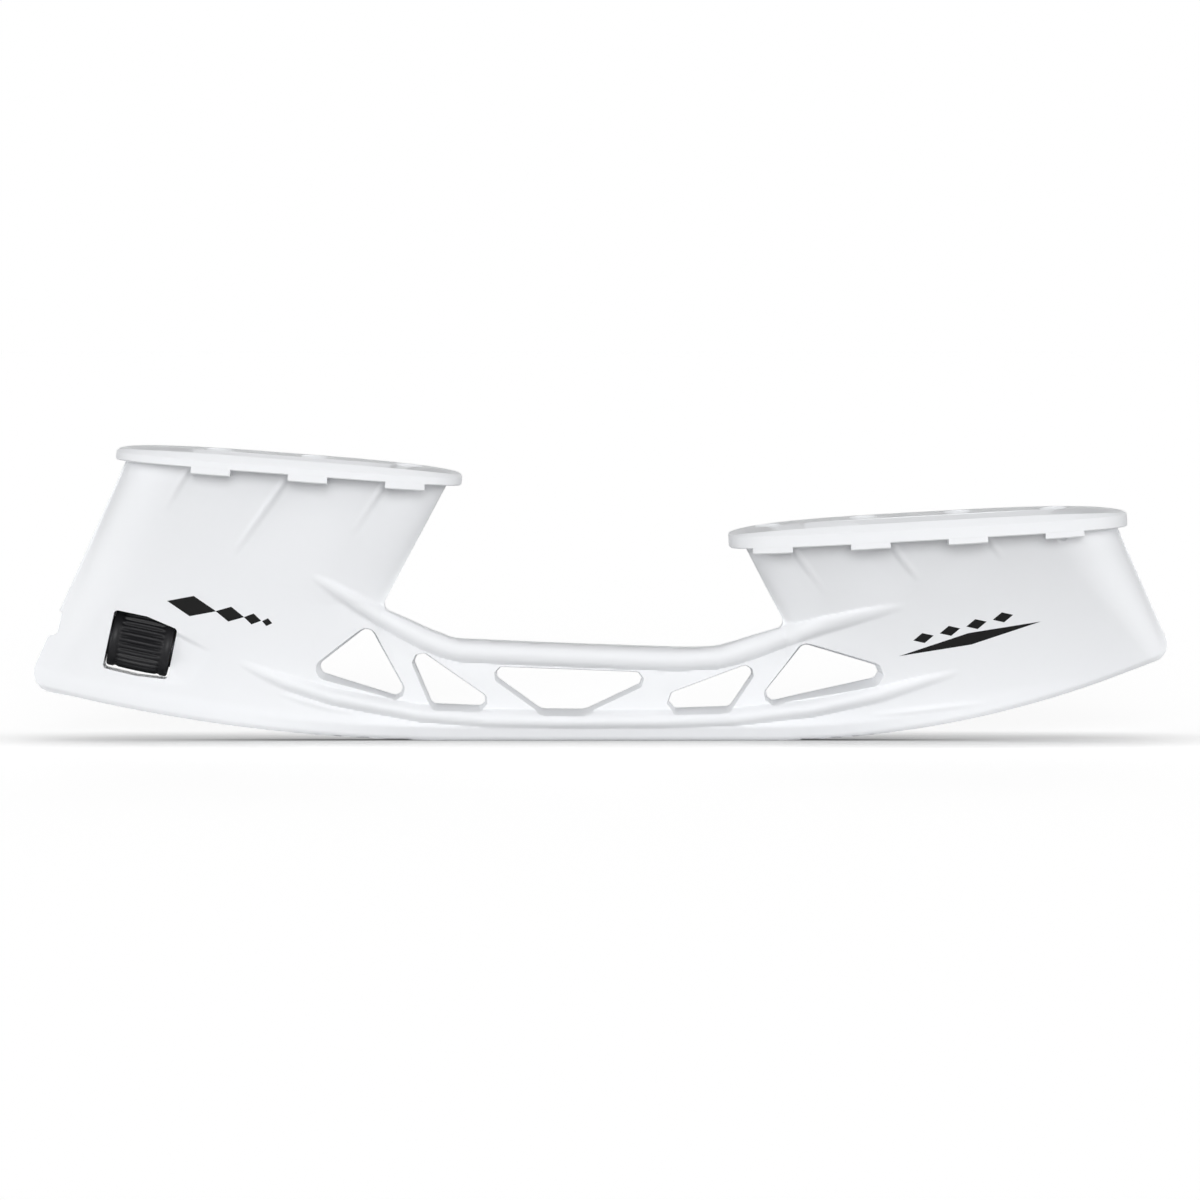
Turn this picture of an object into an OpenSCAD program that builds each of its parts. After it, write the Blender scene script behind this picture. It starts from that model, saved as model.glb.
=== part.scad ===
// Ice-skate blade holder: one white moulding with a heel post, a toe post and a truss bridge,
// and a thumb wheel in the heel that draws a steel hook to lock the runner in its slot.
// Millimetres. X runs from heel to toe, Z up, Y across. The origin is under the middle of the holder.

/* [Holder] */
// Length of the holder from its rear end to its front end
holder_len = 280; // [272:1:288]

/* [Heel flange] */
// Length of the heel flange
heel_len = 86; // [80:0.5:94]
// Width of the heel flange
heel_w = 59; // [55:0.5:64]
// Height of the heel flange's top at its middle
heel_z = 70.4; // [66:0.2:76]
// Distance of the heel flange's middle from the holder's rear end
heel_back = 62.9; // [61:0.1:65]
// Rise of the heel flange towards the rear, in degrees
heel_rise = 4.4; // [2:0.2:7]
// Number of rivet pairs in the heel flange
heel_pairs = 3; // [2:1:3]
// Distance of the heel rivet row's middle from the flange's middle, towards the bridge
heel_row_in = 5.4; // [4:0.1:6]

/* [Toe flange] */
// Length of the toe flange
toe_len = 98.5; // [92:0.5:106]
// Width of the toe flange
toe_w = 69; // [64:0.5:76]
// Height of the toe flange's top at its middle
toe_z = 55.6; // [52:0.2:60]
// Distance of the toe flange's middle from the holder's front end
toe_front = 59.4; // [58:0.1:61]
// Rise of the toe flange towards the front, in degrees
toe_rise = 3.2; // [1:0.2:5]
// Number of rivet pairs in the toe flange
toe_pairs = 4; // [3:1:4]
// Distance of the toe rivet row's middle from the flange's middle, towards the bridge
toe_row_in = 3.2; // [2:0.1:4]

/* [Flange rim and rivet holes] */
// Thickness of a flange at its rim
flange_t = 4.4; // [4:0.1:5.4]
// Height of the bevel along the rim's top edge
rim_bevel = 2; // [1:0.1:2.4]
// Radius of the boot sole that the flange tops are dished for
dish_r = 560; // [420:20:900]
// Diameter of a rivet hole
rivet_d = 5.2; // [4.4:0.1:5.8]
// Diameter of the countersink of a rivet hole
rivet_sink_d = 6.8; // [6.2:0.1:7.4]
// Distance between rivet pairs along the holder
rivet_pitch = 23.8; // [22:0.1:25]
// Distance of a rivet hole's axis from the rim
rivet_inset = 5.6; // [5:0.1:6.4]
// Length of the pad under a rivet hole
pad_len = 9.6; // [8.4:0.2:12]
// Depth of a pad below the flange
pad_drop = 1.8; // [0.8:0.1:2.2]

/* [Posts] */
// Overhang of the heel flange past the post at its rear end
heel_over_out = 3.1; // [3:0.1:5]
// Overhang of the heel flange past the post at its front end
heel_over_in = 3.4; // [2.5:0.1:5]
// Overhang of the heel flange past each side of the post
heel_over_side = 11; // [10:0.2:12.5]
// Lean of the heel post's rear edge, in degrees
heel_lean_out = 24.5; // [21:0.1:26]
// Lean of the heel post's front edge, in degrees
heel_lean_in = 28.8; // [26:0.1:32]
// Overhang of the toe flange past the post at its front end
toe_over_out = 2.8; // [1:0.1:4]
// Overhang of the toe flange past the post at its rear end
toe_over_in = 3.7; // [3:0.1:5]
// Overhang of the toe flange past each side of the post
toe_over_side = 11.5; // [10.5:0.1:13]
// Lean of the toe post's front edge, in degrees
toe_lean_out = 24.6; // [22:0.1:27]
// Lean of the toe post's rear edge, in degrees
toe_lean_in = 28.7; // [26:0.1:31]
// Wall of the hollow posts
post_wall = 3.2; // [2.6:0.1:4]
// Height of the heel hollow's floor
heel_floor_z = 40; // [37:0.5:44]
// Height of the toe hollow's floor
toe_floor_z = 31; // [29:0.5:35]
// Thickness of the cross rib in each hollow
inner_rib_t = 2.4; // [1.6:0.2:3.2]

/* [Bottom rail] */
// Flat stretch of the bottom behind the middle
flat_rear = 35; // [28:1:42]
// Flat stretch of the bottom ahead of the middle
flat_front = 40; // [34:1:46]
// Radius of the bottom towards the heel
rocker_rear = 420; // [390:5:480]
// Radius of the bottom towards the toe
rocker_front = 245; // [235:5:280]
// Width of the rail's lower skirt
skirt_w = 8.4; // [7.6:0.2:9.4]
// Width of the bead above the skirt
bead_w = 11.2; // [10:0.2:12.4]
// Height of the bead
bead_h = 4; // [3.4:0.1:4.6]
// Width of the runner slot
slot_w = 3.2; // [3:0.05:3.4]
// Depth of the runner slot
slot_depth = 5; // [4:0.1:5.4]

/* [Bridge] */
// Height of the top bar's upper edge at the middle of the bridge
bridge_z = 23.4; // [22.4:0.1:25]
// Height of the top bar
bar_h = 6.4; // [5.6:0.1:7]
// Width of the top bar
bar_w = 12; // [10.5:0.1:13]
// Thickness of the truss web
web_t = 9; // [7.5:0.1:10]
// Corner radius of the truss windows
window_r = 1.6; // [1:0.1:2]

/* [Thumb wheel] */
// Distance of the wheel's middle from the holder's rear end
wheel_in = 26.3; // [25.5:0.1:27]
// Height of the wheel's middle
wheel_z = 24.4; // [23.8:0.1:25.4]
// Tilt of the wheel's axis, down towards the toe, in degrees
axis_tilt = 12; // [11:0.2:13]
// Diameter of the wheel over its ribs
wheel_d = 14.8; // [13.6:0.1:15.4]
// Length of the wheel
wheel_len = 15.2; // [14.4:0.1:16]
// Length of the smooth band at each end of the wheel
band_len = 2.2; // [1.6:0.1:3]
// Depth of the wheel's ribs
rib_depth = 0.55; // [0.3:0.05:0.7]
// Number of ribs round the wheel
rib_count = 28; // [20:1:32]
// Room between the wheel and its window, ends and sides
window_gap = 0.35; // [0.3:0.05:0.6]

/* [Lock hook] */
// Diameter of the screw stem
stem_d = 5; // [4.4:0.1:5.4]
// Diameter of the brass nut in the wheel
nut_d = 8.4; // [7.8:0.1:9]
// Travel of the hook between open and locked
draw = 4; // [3:0.1:4.4]
// Diameter of the stem's slotted head
head_d = 7.8; // [7.2:0.1:8]
// Length of the stem's slotted head
head_len = 6; // [5.6:0.1:6.6]
// Thickness of the hook plate
hook_t = 3; // [2.6:0.05:3.1]
// Reach of the hook below the stem's axis
hook_reach = 12.2; // [11.6:0.1:12.8]
// Width of the hook's leg
hook_leg = 4; // [3.4:0.1:4.4]
// Diameter of the hook's cross pin
pin_d = 2.4; // [2:0.1:2.8]
// Diameter of the thrust washers
washer_d = 9.6; // [9.2:0.1:10]
// Thickness of a thrust washer
washer_t = 0.8; // [0.6:0.1:1]
// Height of the disc spring as fitted
disc_h = 0.8; // [0.7:0.05:1]
// Thickness of the disc spring's steel
disc_t = 0.4; // [0.3:0.05:0.45]
// Outer diameter of the front bush
front_bush_d = 8.8; // [8.5:0.1:9]
// Length of the front bush
front_bush_len = 3; // [2.4:0.1:3.4]
// Outer diameter of the rear bush, and of the plug behind it
rear_bush_d = 9.2; // [9:0.1:9.4]
// Length of the rear bush
rear_bush_len = 2.2; // [1.8:0.1:2.6]
// Diameter of the retaining clip
clip_d = 8; // [7.4:0.1:8.4]
// Thickness of the retaining clip
clip_t = 0.6; // [0.5:0.05:0.8]
// Length of the rear plug
plug_len = 3.2; // [2.8:0.1:3.4]
// Thickness of the plug's ring seal
seal_d = 0.7; // [0.6:0.05:0.8]

/* [Clearances] */
// Radial clearance of a turning or sliding fit
run_clear = 0.06; // [0.03:0.01:0.09]
// Radial clearance of a fixed seat
seat_clear = 0.02; // [0.01:0.01:0.04]
// Gap between faces that move past each other
face_gap = 0.1; // [0.05:0.05:0.2]
// Gap at the end of a travel
stop_gap = 0.4; // [0.3:0.05:0.6]
// Room on each side of the hook plate in its pocket
hook_side_gap = 0.2; // [0.1:0.05:0.3]
// Gap round the stem's head in its chamber
head_gap = 0.3; // [0.2:0.05:0.4]

/* [Hidden] */
$fn = 48;
// How far a cut runs past the face it cuts, and a length past the part's own sizes
past = 1;
over = 20;

// Places along the holder, from its middle
heel_mid = holder_len / 2 - heel_back;
toe_mid = holder_len / 2 - toe_front;
heel_row = heel_mid - heel_row_in;
toe_row = toe_mid - toe_row_in;
wheel_back = holder_len / 2 - wheel_in;

// A post with its flange, measured outwards from the holder's middle: u is the distance from it.
DIR = 0;
MID = 1;
LEN = 2;
WIDTH = 3;
TOP = 4;
RISE = 5;
OVER_IN = 6;
OVER_OUT = 7;
OVER_SIDE = 8;
LEAN_IN = 9;
LEAN_OUT = 10;
FLOOR = 11;
PAIRS = 12;
ROW = 13;
HEEL = [-1, heel_mid, heel_len, heel_w, heel_z, heel_rise, heel_over_in, heel_over_out, heel_over_side,
        heel_lean_in, heel_lean_out, heel_floor_z, heel_pairs, heel_row];
TOE = [1, toe_mid, toe_len, toe_w, toe_z, toe_rise, toe_over_in, toe_over_out, toe_over_side,
       toe_lean_in, toe_lean_out, toe_floor_z, toe_pairs, toe_row];

// Form of the posts and flanges
flange_power = 3.2;
flange_points = 48;
foot_flare = 0.5;
foot_half = skirt_w / 2 + foot_flare;
foot_z = 3;
flare_power = 1.55;
flare_steps = 9;
knee_z = 35;
post_round_out = 14;
post_round_in = 20;
post_round_power = 2.3;
round_steps = 6;
keel_top = 37;
keel_lap = 3;
keel_spare = 1;
keel_blunt = 0.65;

function mix(a, b, t) = a + (b - a) * t;
function flange_z(p, u) = p[TOP] + tan(p[RISE]) * (u - p[MID]);
function under_z(p, u) = flange_z(p, u) - flange_t;
function u_in_top(p) = p[MID] - p[LEN] / 2 + p[OVER_IN];
function u_out_top(p) = p[MID] + p[LEN] / 2 - p[OVER_OUT];
function u_out(p, z) = u_out_top(p) + tan(p[LEAN_OUT]) * (under_z(p, u_out_top(p)) - z);
function u_in(p, z) = u_in_top(p) + tan(p[LEAN_IN]) * (under_z(p, u_in_top(p)) - z);
function top_half(p) = p[WIDTH] / 2 - p[OVER_SIDE];
function height_part(p, z) = min(1, max(0, (z - foot_z) / (p[TOP] - flange_t - foot_z)));
function post_half(p, z) = mix(foot_half, top_half(p), pow(height_part(p, z), flare_power));
function keel_half(p) = post_half(p, keel_top) + keel_spare;
function flange_half(p, u) =
    p[WIDTH] / 2 * pow(1 - pow(abs(u - p[MID]) / (p[LEN] / 2), flange_power), 1 / flange_power);
function rivet_u(p, i) = p[ROW] + (i - (p[PAIRS] - 1) / 2) * rivet_pitch;
function rivet_y(p, i) = flange_half(p, rivet_u(p, i)) - rivet_inset;

// Rounded outlines in plan
function bend(c, power) = sign(c) * pow(abs(c), 2 / power);
function flange_oval(p, inset) =
    [for (i = [0:flange_points - 1])
        let (a = 360 * i / flange_points)
        [(p[LEN] / 2 - inset) * bend(cos(a), flange_power),
         (p[WIDTH] / 2 - inset) * bend(sin(a), flange_power)]];
function round_end(depth, half, power) =
    [for (i = [-round_steps:round_steps])
        let (a = 90 * i / round_steps) [depth * bend(cos(a), power) - depth, half * bend(sin(a), power)]];

// Bottom line of the holder, flat in the middle and curving up to both ends
function arc_rise(d, r) = r - sqrt(r * r - d * d);
function bottom(x) =
    x < -flat_rear ? arc_rise(-x - flat_rear, rocker_rear)
    : x > flat_front ? arc_rise(x - flat_front, rocker_front) : 0;

// Points round a corner of radius r at p, between the directions to a and b
function unit(v) = v / norm(v);
function corner(a, p, b, r, steps) =
    let (ua = unit(a - p), ub = unit(b - p), half = acos(ua * ub) / 2,
         c = p + unit(ua + ub) * r / sin(half))
    [for (i = [0:steps])
        let (q = mix(p + ua * r / tan(half), p + ub * r / tan(half), i / steps)) c + unit(q - c) * r];
function rounded(points, r, steps) =
    let (n = len(points))
    [for (i = [0:n - 1]) each corner(points[(i + n - 1) % n], points[i], points[(i + 1) % n], r, steps)];

// Places a post's own outward frame in the holder's frame
module on_post(p) {
    if (p[DIR] < 0) mirror([1, 0, 0]) children();
    else children();
}
// Extrudes a side-view outline across the holder, centred on its middle plane
module across(width) {
    rotate([90, 0, 0]) linear_extrude(width, center = true) children();
}
// Extrudes a plan outline along a leaning edge through the flange's underside at u
module along_lean(p, u, lean) {
    translate([u, 0, under_z(p, u)]) rotate([0, -lean, 0])
        linear_extrude(10 * over, center = true) children();
}
// Stands children in the flange's plane, at the middle of its top
module on_flange(p) {
    on_post(p) translate([p[MID], 0, p[TOP]]) rotate([0, -p[RISE], 0]) children();
}

// Side outline of the moulding below its flanges
heel_corner_z = 13.2;
heel_corner_r = 5;
toe_corner_z = 21.6;
toe_corner_r = 4.4;
corner_run = 12;
foot_r = 2.5;
bottom_steps = 28;
function heel_out(z) = [-u_out(HEEL, z), z];
function heel_in(z) = [-u_in(HEEL, z), z];
function toe_out(z) = [u_out(TOE, z), z];
function toe_in(z) = [u_in(TOE, z), z];
rail_x0 = heel_out(heel_corner_z)[0] + corner_run;
rail_x1 = toe_out(toe_corner_z)[0] - corner_run;
function rail_x(i) = mix(rail_x0, rail_x1, i / bottom_steps);
bottom_line = [for (i = [0:bottom_steps]) [rail_x(i), bottom(rail_x(i))]];

// Feet of the posts' inner edges, and points given by their distance from one of them
heel_foot = u_in(HEEL, knee_z);
toe_foot = u_in(TOE, knee_z);
function by_heel(d, v) = [d - heel_foot, v];
function by_toe(d, v) = [toe_foot + d, v];
// Upper edge of the top bar as [x, z], from a rib on the heel post to one on the toe post
heel_rib = [by_heel(-18, bridge_z + 18.7), by_heel(-9, bridge_z + 13.6)];
toe_rib = [by_toe(15, bridge_z + 8.4), by_toe(30, bridge_z + 11)];
bridge_top = [by_heel(0, bridge_z + 9.2), by_heel(3, bridge_z + 7.4), by_heel(10.5, bridge_z + 4),
              by_heel(15.4, bridge_z + 2), by_heel(19, bridge_z + 1.6),
              [-8, bridge_z + 0.5], by_toe(-24, bridge_z - 0.4), by_toe(-15.5, bridge_z - 0.3),
              by_toe(-10.5, bridge_z + 0.7), by_toe(-4, bridge_z + 2.7), by_toe(2.4, bridge_z + 4.8)];
bar_top = concat(heel_rib, bridge_top, toe_rib);
bar_first = bridge_top[0];
bar_last = bridge_top[len(bridge_top) - 1];
sunk = 1;
function under_point(p, u) = [p[DIR] * u, under_z(p, u) + sunk];
side_outline = concat(
    bottom_line,
    corner(bottom_line[bottom_steps], toe_out(toe_corner_z), toe_out(toe_z), toe_corner_r, 4),
    [under_point(TOE, u_out_top(TOE)), under_point(TOE, u_in_top(TOE))],
    corner(toe_in(toe_z), toe_in(bar_last[1]), bridge_top[len(bridge_top) - 2], foot_r, 3),
    [for (i = [len(bridge_top) - 2:-1:1]) bridge_top[i]],
    corner(bridge_top[1], heel_in(bar_first[1]), heel_in(heel_z), foot_r, 3),
    [under_point(HEEL, u_in_top(HEEL)), under_point(HEEL, u_out_top(HEEL))],
    corner(heel_out(heel_z), heel_out(heel_corner_z), bottom_line[0], heel_corner_r, 5));

// Solid of a post's width: flared sides between leaning rounded ends, drawn in by wall for its hollow
module flared(p, wall) {
    low = -over / 2;
    high = p[TOP] + over / 2;
    right = [for (i = [0:flare_steps])
        let (z = mix(foot_z, p[TOP] - flange_t, i / flare_steps)) [post_half(p, z) - wall, z]];
    half = concat([[foot_half - wall, low]], right, [[top_half(p) - wall, high]]);
    translate([p[MID], 0, p[TOP]]) rotate([0, -p[RISE], 0]) translate([-5 * over, 0, -p[TOP]])
        rotate([90, 0, 90]) linear_extrude(10 * over)
        polygon(concat(half, [for (i = [len(half) - 1:-1:0]) [-half[i][0], half[i][1]]]));
}
module outer_end(p, wall, depth, half) {
    along_lean(p, u_out_top(p), p[LEAN_OUT]) translate([-wall, 0])
        polygon(concat(round_end(depth, half, post_round_power), [[-10 * over, half], [-10 * over, -half]]));
}
module inner_end(p, wall, depth, half) {
    along_lean(p, u_in_top(p), p[LEAN_IN]) translate([wall, 0]) mirror([1, 0, 0])
        polygon(concat(round_end(depth, half, post_round_power), [[-10 * over, half], [-10 * over, -half]]));
}
module post_width(p, wall) {
    intersection() {
        flared(p, wall);
        outer_end(p, wall, post_round_out, top_half(p) - wall);
        inner_end(p, wall, post_round_in, top_half(p) - wall);
    }
}
module upper_post(p) {
    intersection() {
        post_width(p, 0);
        translate([0, -p[WIDTH], keel_top - keel_lap]) cube([10 * over, 2 * p[WIDTH], 2 * p[TOP]]);
    }
}
// Solid of the keel's width under a post, drawn in to the web at its inner end
nose_reach = 12;
nose_len = 34;
module keel_width(p) {
    nose = u_in(p, knee_z) - nose_reach;
    half = keel_half(p);
    intersection() {
        flared(p, 0);
        outer_end(p, 0, half * keel_blunt, half);
        translate([0, 0, -over]) linear_extrude(keel_top + over) polygon([
            [nose, -web_t / 2], [nose + nose_len, -half], [8 * over, -half],
            [8 * over, half], [nose + nose_len, half], [nose, web_t / 2]]);
    }
}

// A band along a path of [x, z], rounded by a narrower and a wider layer
round_step = 0.9;
module band(path, half_h, width) {
    for (layer = [0, 1]) {
        h = half_h - layer * round_step;
        across(width - (1 - layer) * 2 * round_step)
            polygon(concat([for (q = path) q - [0, h]], [for (i = [len(path) - 1:-1:0]) path[i] + [0, h]]));
    }
}
// Smooth path through stations
function spline(a, b, c, d, t) =
    (2 * b + (c - a) * t + (2 * a - 5 * b + 4 * c - d) * t * t + (3 * b - a - 3 * c + d) * t * t * t) / 2;
function smooth(s, steps) =
    let (n = len(s))
    concat([for (i = [0:n - 2], k = [0:steps - 1])
        spline(s[max(0, i - 1)], s[i], s[i + 1], s[min(n - 1, i + 2)], k / steps)], [s[n - 1]]);
module top_bar() {
    band([for (q = smooth(bar_top, 2)) q - [0, bar_h / 2]], bar_h / 2, bar_w);
}

// Bead of the rail as [x, height of its middle above the bottom line], rising into a rib on each post
bead_low = 5;
bead_rise = [by_heel(-36.7, 11), by_heel(-25.1, 7.3), by_heel(-13.7, 4.7), by_heel(7.9, 1.6), [-10, 0.2],
             by_toe(-8.8, 0.7), by_toe(10.2, 2.6), by_toe(27.2, 4.9), by_toe(37, 7.3), by_toe(46.9, 7.4)];
bead_path = [for (q = bead_rise) [q[0], q[1] + bead_low + bottom(q[0])]];
module rail_bead() {
    band(smooth(bead_path, 3), bead_h / 2, bead_w);
}
// Web between the two posts, and the skirt of the rail
skirt_top = 6;
module web() {
    translate([-heel_foot - nose_reach, -web_t / 2, 0])
        cube([heel_foot + toe_foot + 2 * nose_reach, web_t, bridge_z + over]);
}
module skirt() {
    across(skirt_w) polygon(concat(
        bottom_line, [for (i = [bottom_steps:-1:0]) bottom_line[i] + [0, skirt_top]]));
}

// Truss windows: corners as [x, share of the height between bead and bar]
bead_side = 0.7;
bar_under = 0.3;
function bead_top(x) = lookup(x, bead_path) + bead_h / 2 + bead_side;
function bar_low(x) = lookup(x, bar_top) - bar_h - bar_under;
function window_point(q) = [q[0], mix(bead_top(q[0]), bar_low(q[0]), q[1])];
WINDOWS = [
    [by_heel(-4.5, 1.03), by_heel(-18.6, 0.12), by_heel(5.4, 0)],
    [by_heel(4.4, 1.11), by_heel(10.7, 0), by_heel(28.1, 0)],
    [by_heel(23.4, 1.03), [-14.5, 0], [-4.2, 0], by_toe(-27.4, 1.04)],
    [by_toe(-2.1, 1.1), by_toe(-31, 0), by_toe(-10.2, 0)],
    [by_toe(7.6, 1.08), by_toe(-4.4, 0), by_toe(31.4, 0.07)]];
module truss_windows() {
    for (w = WINDOWS)
        across(3 * over) polygon(rounded([for (q = w) window_point(q)], window_r, 3));
}

// Flanges with their pads, hollows and dished tops
bevel_steps = 3;
bevel_in = 1.2;
module flange(p) {
    on_flange(p) translate([0, 0, -flange_t]) {
        for (i = [0:bevel_steps])
            linear_extrude(flange_t - rim_bevel * (1 - i / bevel_steps))
                polygon(flange_oval(p, bevel_in * i / bevel_steps));
    }
}
pad_inset = 0.3;
module pads(p) {
    intersection() {
        on_flange(p) translate([0, 0, -flange_t - pad_drop]) linear_extrude(pad_drop + past)
            polygon(flange_oval(p, pad_inset));
        on_post(p) for (i = [0:p[PAIRS] - 1])
            translate([rivet_u(p, i) - pad_len / 2, -p[WIDTH], 0]) cube([pad_len, 2 * p[WIDTH], 2 * p[TOP]]);
    }
}
rib_drop = 12;
module hollow(p) {
    on_post(p) intersection() {
        post_width(p, post_wall);
        difference() {
            translate([0, -p[WIDTH], p[FLOOR]]) cube([10 * over, 2 * p[WIDTH], p[TOP]]);
            translate([p[MID] - inner_rib_t / 2, -p[WIDTH], 0])
                cube([inner_rib_t, 2 * p[WIDTH], p[TOP] - rib_drop]);
        }
    }
}
module dish(p) {
    lift = sqrt(dish_r * dish_r - p[WIDTH] * p[WIDTH] / 4);
    on_flange(p) translate([-p[LEN], 0, lift]) rotate([0, 90, 0])
        cylinder(r = dish_r, h = 2 * p[LEN], $fn = 360);
}

// Runner slot along the bottom, with a deeper pocket at the toe for the runner's front tab
toe_pocket_x = toe_mid + 25.4;
toe_pocket_len = 17;
toe_pocket_h = 11;
slot_end = 4;
slot_below = 2;
module runner_slot() {
    inner = [for (q = bottom_line) if (q[0] > rail_x0 + slot_end && q[0] < rail_x1 - slot_end) q];
    low = bottom(toe_pocket_x);
    end = toe_pocket_x + toe_pocket_len;
    across(slot_w) polygon(concat(
        [for (q = inner) q - [0, slot_below]], [for (i = [len(inner) - 1:-1:0]) inner[i] + [0, slot_depth]]));
    across(slot_w) polygon([
        [toe_pocket_x, low - slot_below], [end, low - slot_below], [end, low + toe_pocket_h],
        [toe_pocket_x + toe_pocket_len / 2, low + toe_pocket_h], [toe_pocket_x, low + slot_depth]]);
}

// Places along the wheel's axis, from the wheel's middle, positive towards the toe
window_end = wheel_len / 2 + window_gap;
washer_in = wheel_len / 2 + face_gap;
washer_out = washer_in + washer_t;
front_bush_end = washer_out + front_bush_len;
head_in = front_bush_end + draw + stop_gap;
head_out = head_in + head_len;
disc_out = washer_out + disc_h;
rear_bush_end = disc_out + rear_bush_len;
clip_in = rear_bush_end + face_gap;
clip_out = clip_in + clip_t;
stem_tail = 1;
neck_d = stem_d - 1;
stem_end = clip_out + stem_tail;
plug_in = stem_end + draw + stop_gap;
plug_out = plug_in + plug_len;
plug_proud = 0.2;
recess_at = plug_out - plug_proud;
recess_wide = 0.8;
recess_d = rear_bush_d + 2 * recess_wide;
chamber_d = head_d + 2 * head_gap;
washer_seat_d = washer_d + 2 * face_gap;

// Stands children on the wheel's axis: local Z runs along it towards the toe, local X down
module on_axis(at) {
    translate([-wheel_back, 0, wheel_z]) rotate([0, 90 + axis_tilt, 0]) translate([0, 0, at]) children();
}
// Side-view outline in the axis frame, given as [down, along], extruded across
module axis_plate(width) {
    on_axis(0) rotate([90, 0, 0]) linear_extrude(width, center = true) children();
}

// Hook plate, given as [down, along]
tongue_low = 1.3;
tongue = head_d / 2 - tongue_low;
slot_floor = 1.6;
leg_in = head_in + slot_floor;
leg_out = leg_in + hook_leg;
hook_tip = 3.2;
catch_h = 3.2;
hook_chamfer = 1.2;
hook_r = 0.5;
hook_outline = [[-tongue, leg_in], [-tongue, leg_out], [hook_reach - hook_chamfer, leg_out],
                [hook_reach, leg_out - hook_chamfer], [hook_reach, leg_in - hook_tip + hook_chamfer],
                [hook_reach - hook_chamfer, leg_in - hook_tip],
                [hook_reach - catch_h, leg_in - hook_tip + hook_chamfer / 2], [hook_reach - catch_h, leg_in]];
pin_at = leg_in + hook_leg / 2;

module wheel_window() {
    half = wheel_d / 2 + window_gap;
    axis_plate(3 * over) polygon(rounded(
        [[-half, -window_end], [half, -window_end], [half, window_end], [-half, window_end]], window_r, 4));
}
// Scoop ahead of the wheel on each side, where the thumb reaches it
scoop_angle = 13;
scoop_depth = 1.7;
scoop_lap = 0.5;
scoop_w = wheel_d - 2;
module thumb_scoops() {
    start = post_half(HEEL, wheel_z) - scoop_depth;
    for (side = [-1, 1])
        on_axis(window_end - scoop_lap) translate([-scoop_w / 2, side * start, 0])
            rotate([side * -scoop_angle, 0, 0]) translate([0, side > 0 ? 0 : -over, 0])
            cube([scoop_w, over, over]);
}
pocket_below = 3;
pocket_above = 1;
module hook_pocket() {
    rear = leg_in - hook_tip - draw - stop_gap;
    middle = leg_in - draw - stop_gap;
    front = leg_out + stop_gap;
    low = hook_reach + pocket_below;
    step = hook_reach - catch_h - pocket_above;
    top = -tongue - stop_gap;
    axis_plate(hook_t + 2 * hook_side_gap)
        polygon([[top, middle], [top, front], [low, front], [low, rear], [step, rear], [step, middle]]);
}
module rivet_holes(p) {
    sink = (rivet_sink_d - rivet_d) / 2;
    for (i = [0:p[PAIRS] - 1], side = [-1, 1]) {
        y = rivet_y(p, i);
        top = flange_z(p, rivet_u(p, i)) - arc_rise(p[WIDTH] / 2, dish_r) + arc_rise(y, dish_r);
        translate([p[DIR] * rivet_u(p, i), side * y, top]) {
            translate([0, 0, -2 * flange_t]) cylinder(d = rivet_d, h = 3 * flange_t);
            translate([0, 0, -sink]) cylinder(d1 = rivet_d, d2 = rivet_sink_d + 2 * sink, h = 2 * sink);
        }
    }
}
module mechanism_bores() {
    on_axis(-disc_out) cylinder(d = washer_seat_d, h = disc_out + washer_out);
    on_axis(0) cylinder(d = front_bush_d + 2 * seat_clear, h = front_bush_end);
    on_axis(0) cylinder(d = chamber_d, h = head_out + stop_gap);
    on_axis(-plug_out - over) cylinder(d = rear_bush_d + 2 * seat_clear, h = plug_out + over);
    on_axis(-recess_at - over) cylinder(d = recess_d, h = over);
}
module holder_body() {
    color("white") difference() {
        union() {
            intersection() {
                across(5 * over) polygon(side_outline);
                union() {
                    for (p = [HEEL, TOE])
                        on_post(p) {
                            upper_post(p);
                            keel_width(p);
                        }
                    web();
                    rail_bead();
                    skirt();
                }
            }
            top_bar();
            for (p = [HEEL, TOE]) {
                flange(p);
                pads(p);
            }
        }
        for (p = [HEEL, TOE]) {
            hollow(p);
            dish(p);
            rivet_holes(p);
        }
        truss_windows();
        runner_slot();
        wheel_window();
        thumb_scoops();
        hook_pocket();
        mechanism_bores();
    }
}

// Ribbed outline of the wheel's grip
rib_steps = 6;
rib_outline = [for (i = [0:rib_count * rib_steps - 1])
    let (a = 360 * i / (rib_count * rib_steps), r = wheel_d / 2 - rib_depth * (1 - cos(a * rib_count)) / 2)
    [r * cos(a), r * sin(a)]];
module thumb_wheel() {
    band_d = wheel_d - rib_depth;
    color([0.1, 0.1, 0.11]) on_axis(-wheel_len / 2) difference() {
        union() {
            translate([0, 0, band_len]) linear_extrude(wheel_len - 2 * band_len) polygon(rib_outline);
            cylinder(d = band_d, h = band_len);
            translate([0, 0, wheel_len - band_len]) cylinder(d = band_d, h = band_len);
        }
        translate([0, 0, -past]) cylinder(d = nut_d + 2 * seat_clear, h = wheel_len + 2 * past);
    }
}
module drive_nut() {
    groove = 0.5;
    color("gold") on_axis(-wheel_len / 2) difference() {
        cylinder(d = nut_d, h = wheel_len);
        translate([0, 0, -past]) cylinder(d = stem_d + 2 * run_clear, h = wheel_len + 2 * past);
        translate([0, 0, wheel_len / 2 - groove]) difference() {
            cylinder(d = nut_d + 2 * past, h = 2 * groove);
            translate([0, 0, -past]) cylinder(d = nut_d - 2 * groove, h = 2 * groove + 2 * past);
        }
    }
}
module pin_bore() {
    on_axis(pin_at) rotate([90, 0, 0])
        cylinder(d = pin_d + 2 * seat_clear, h = 2 * head_d, center = true);
}
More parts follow.
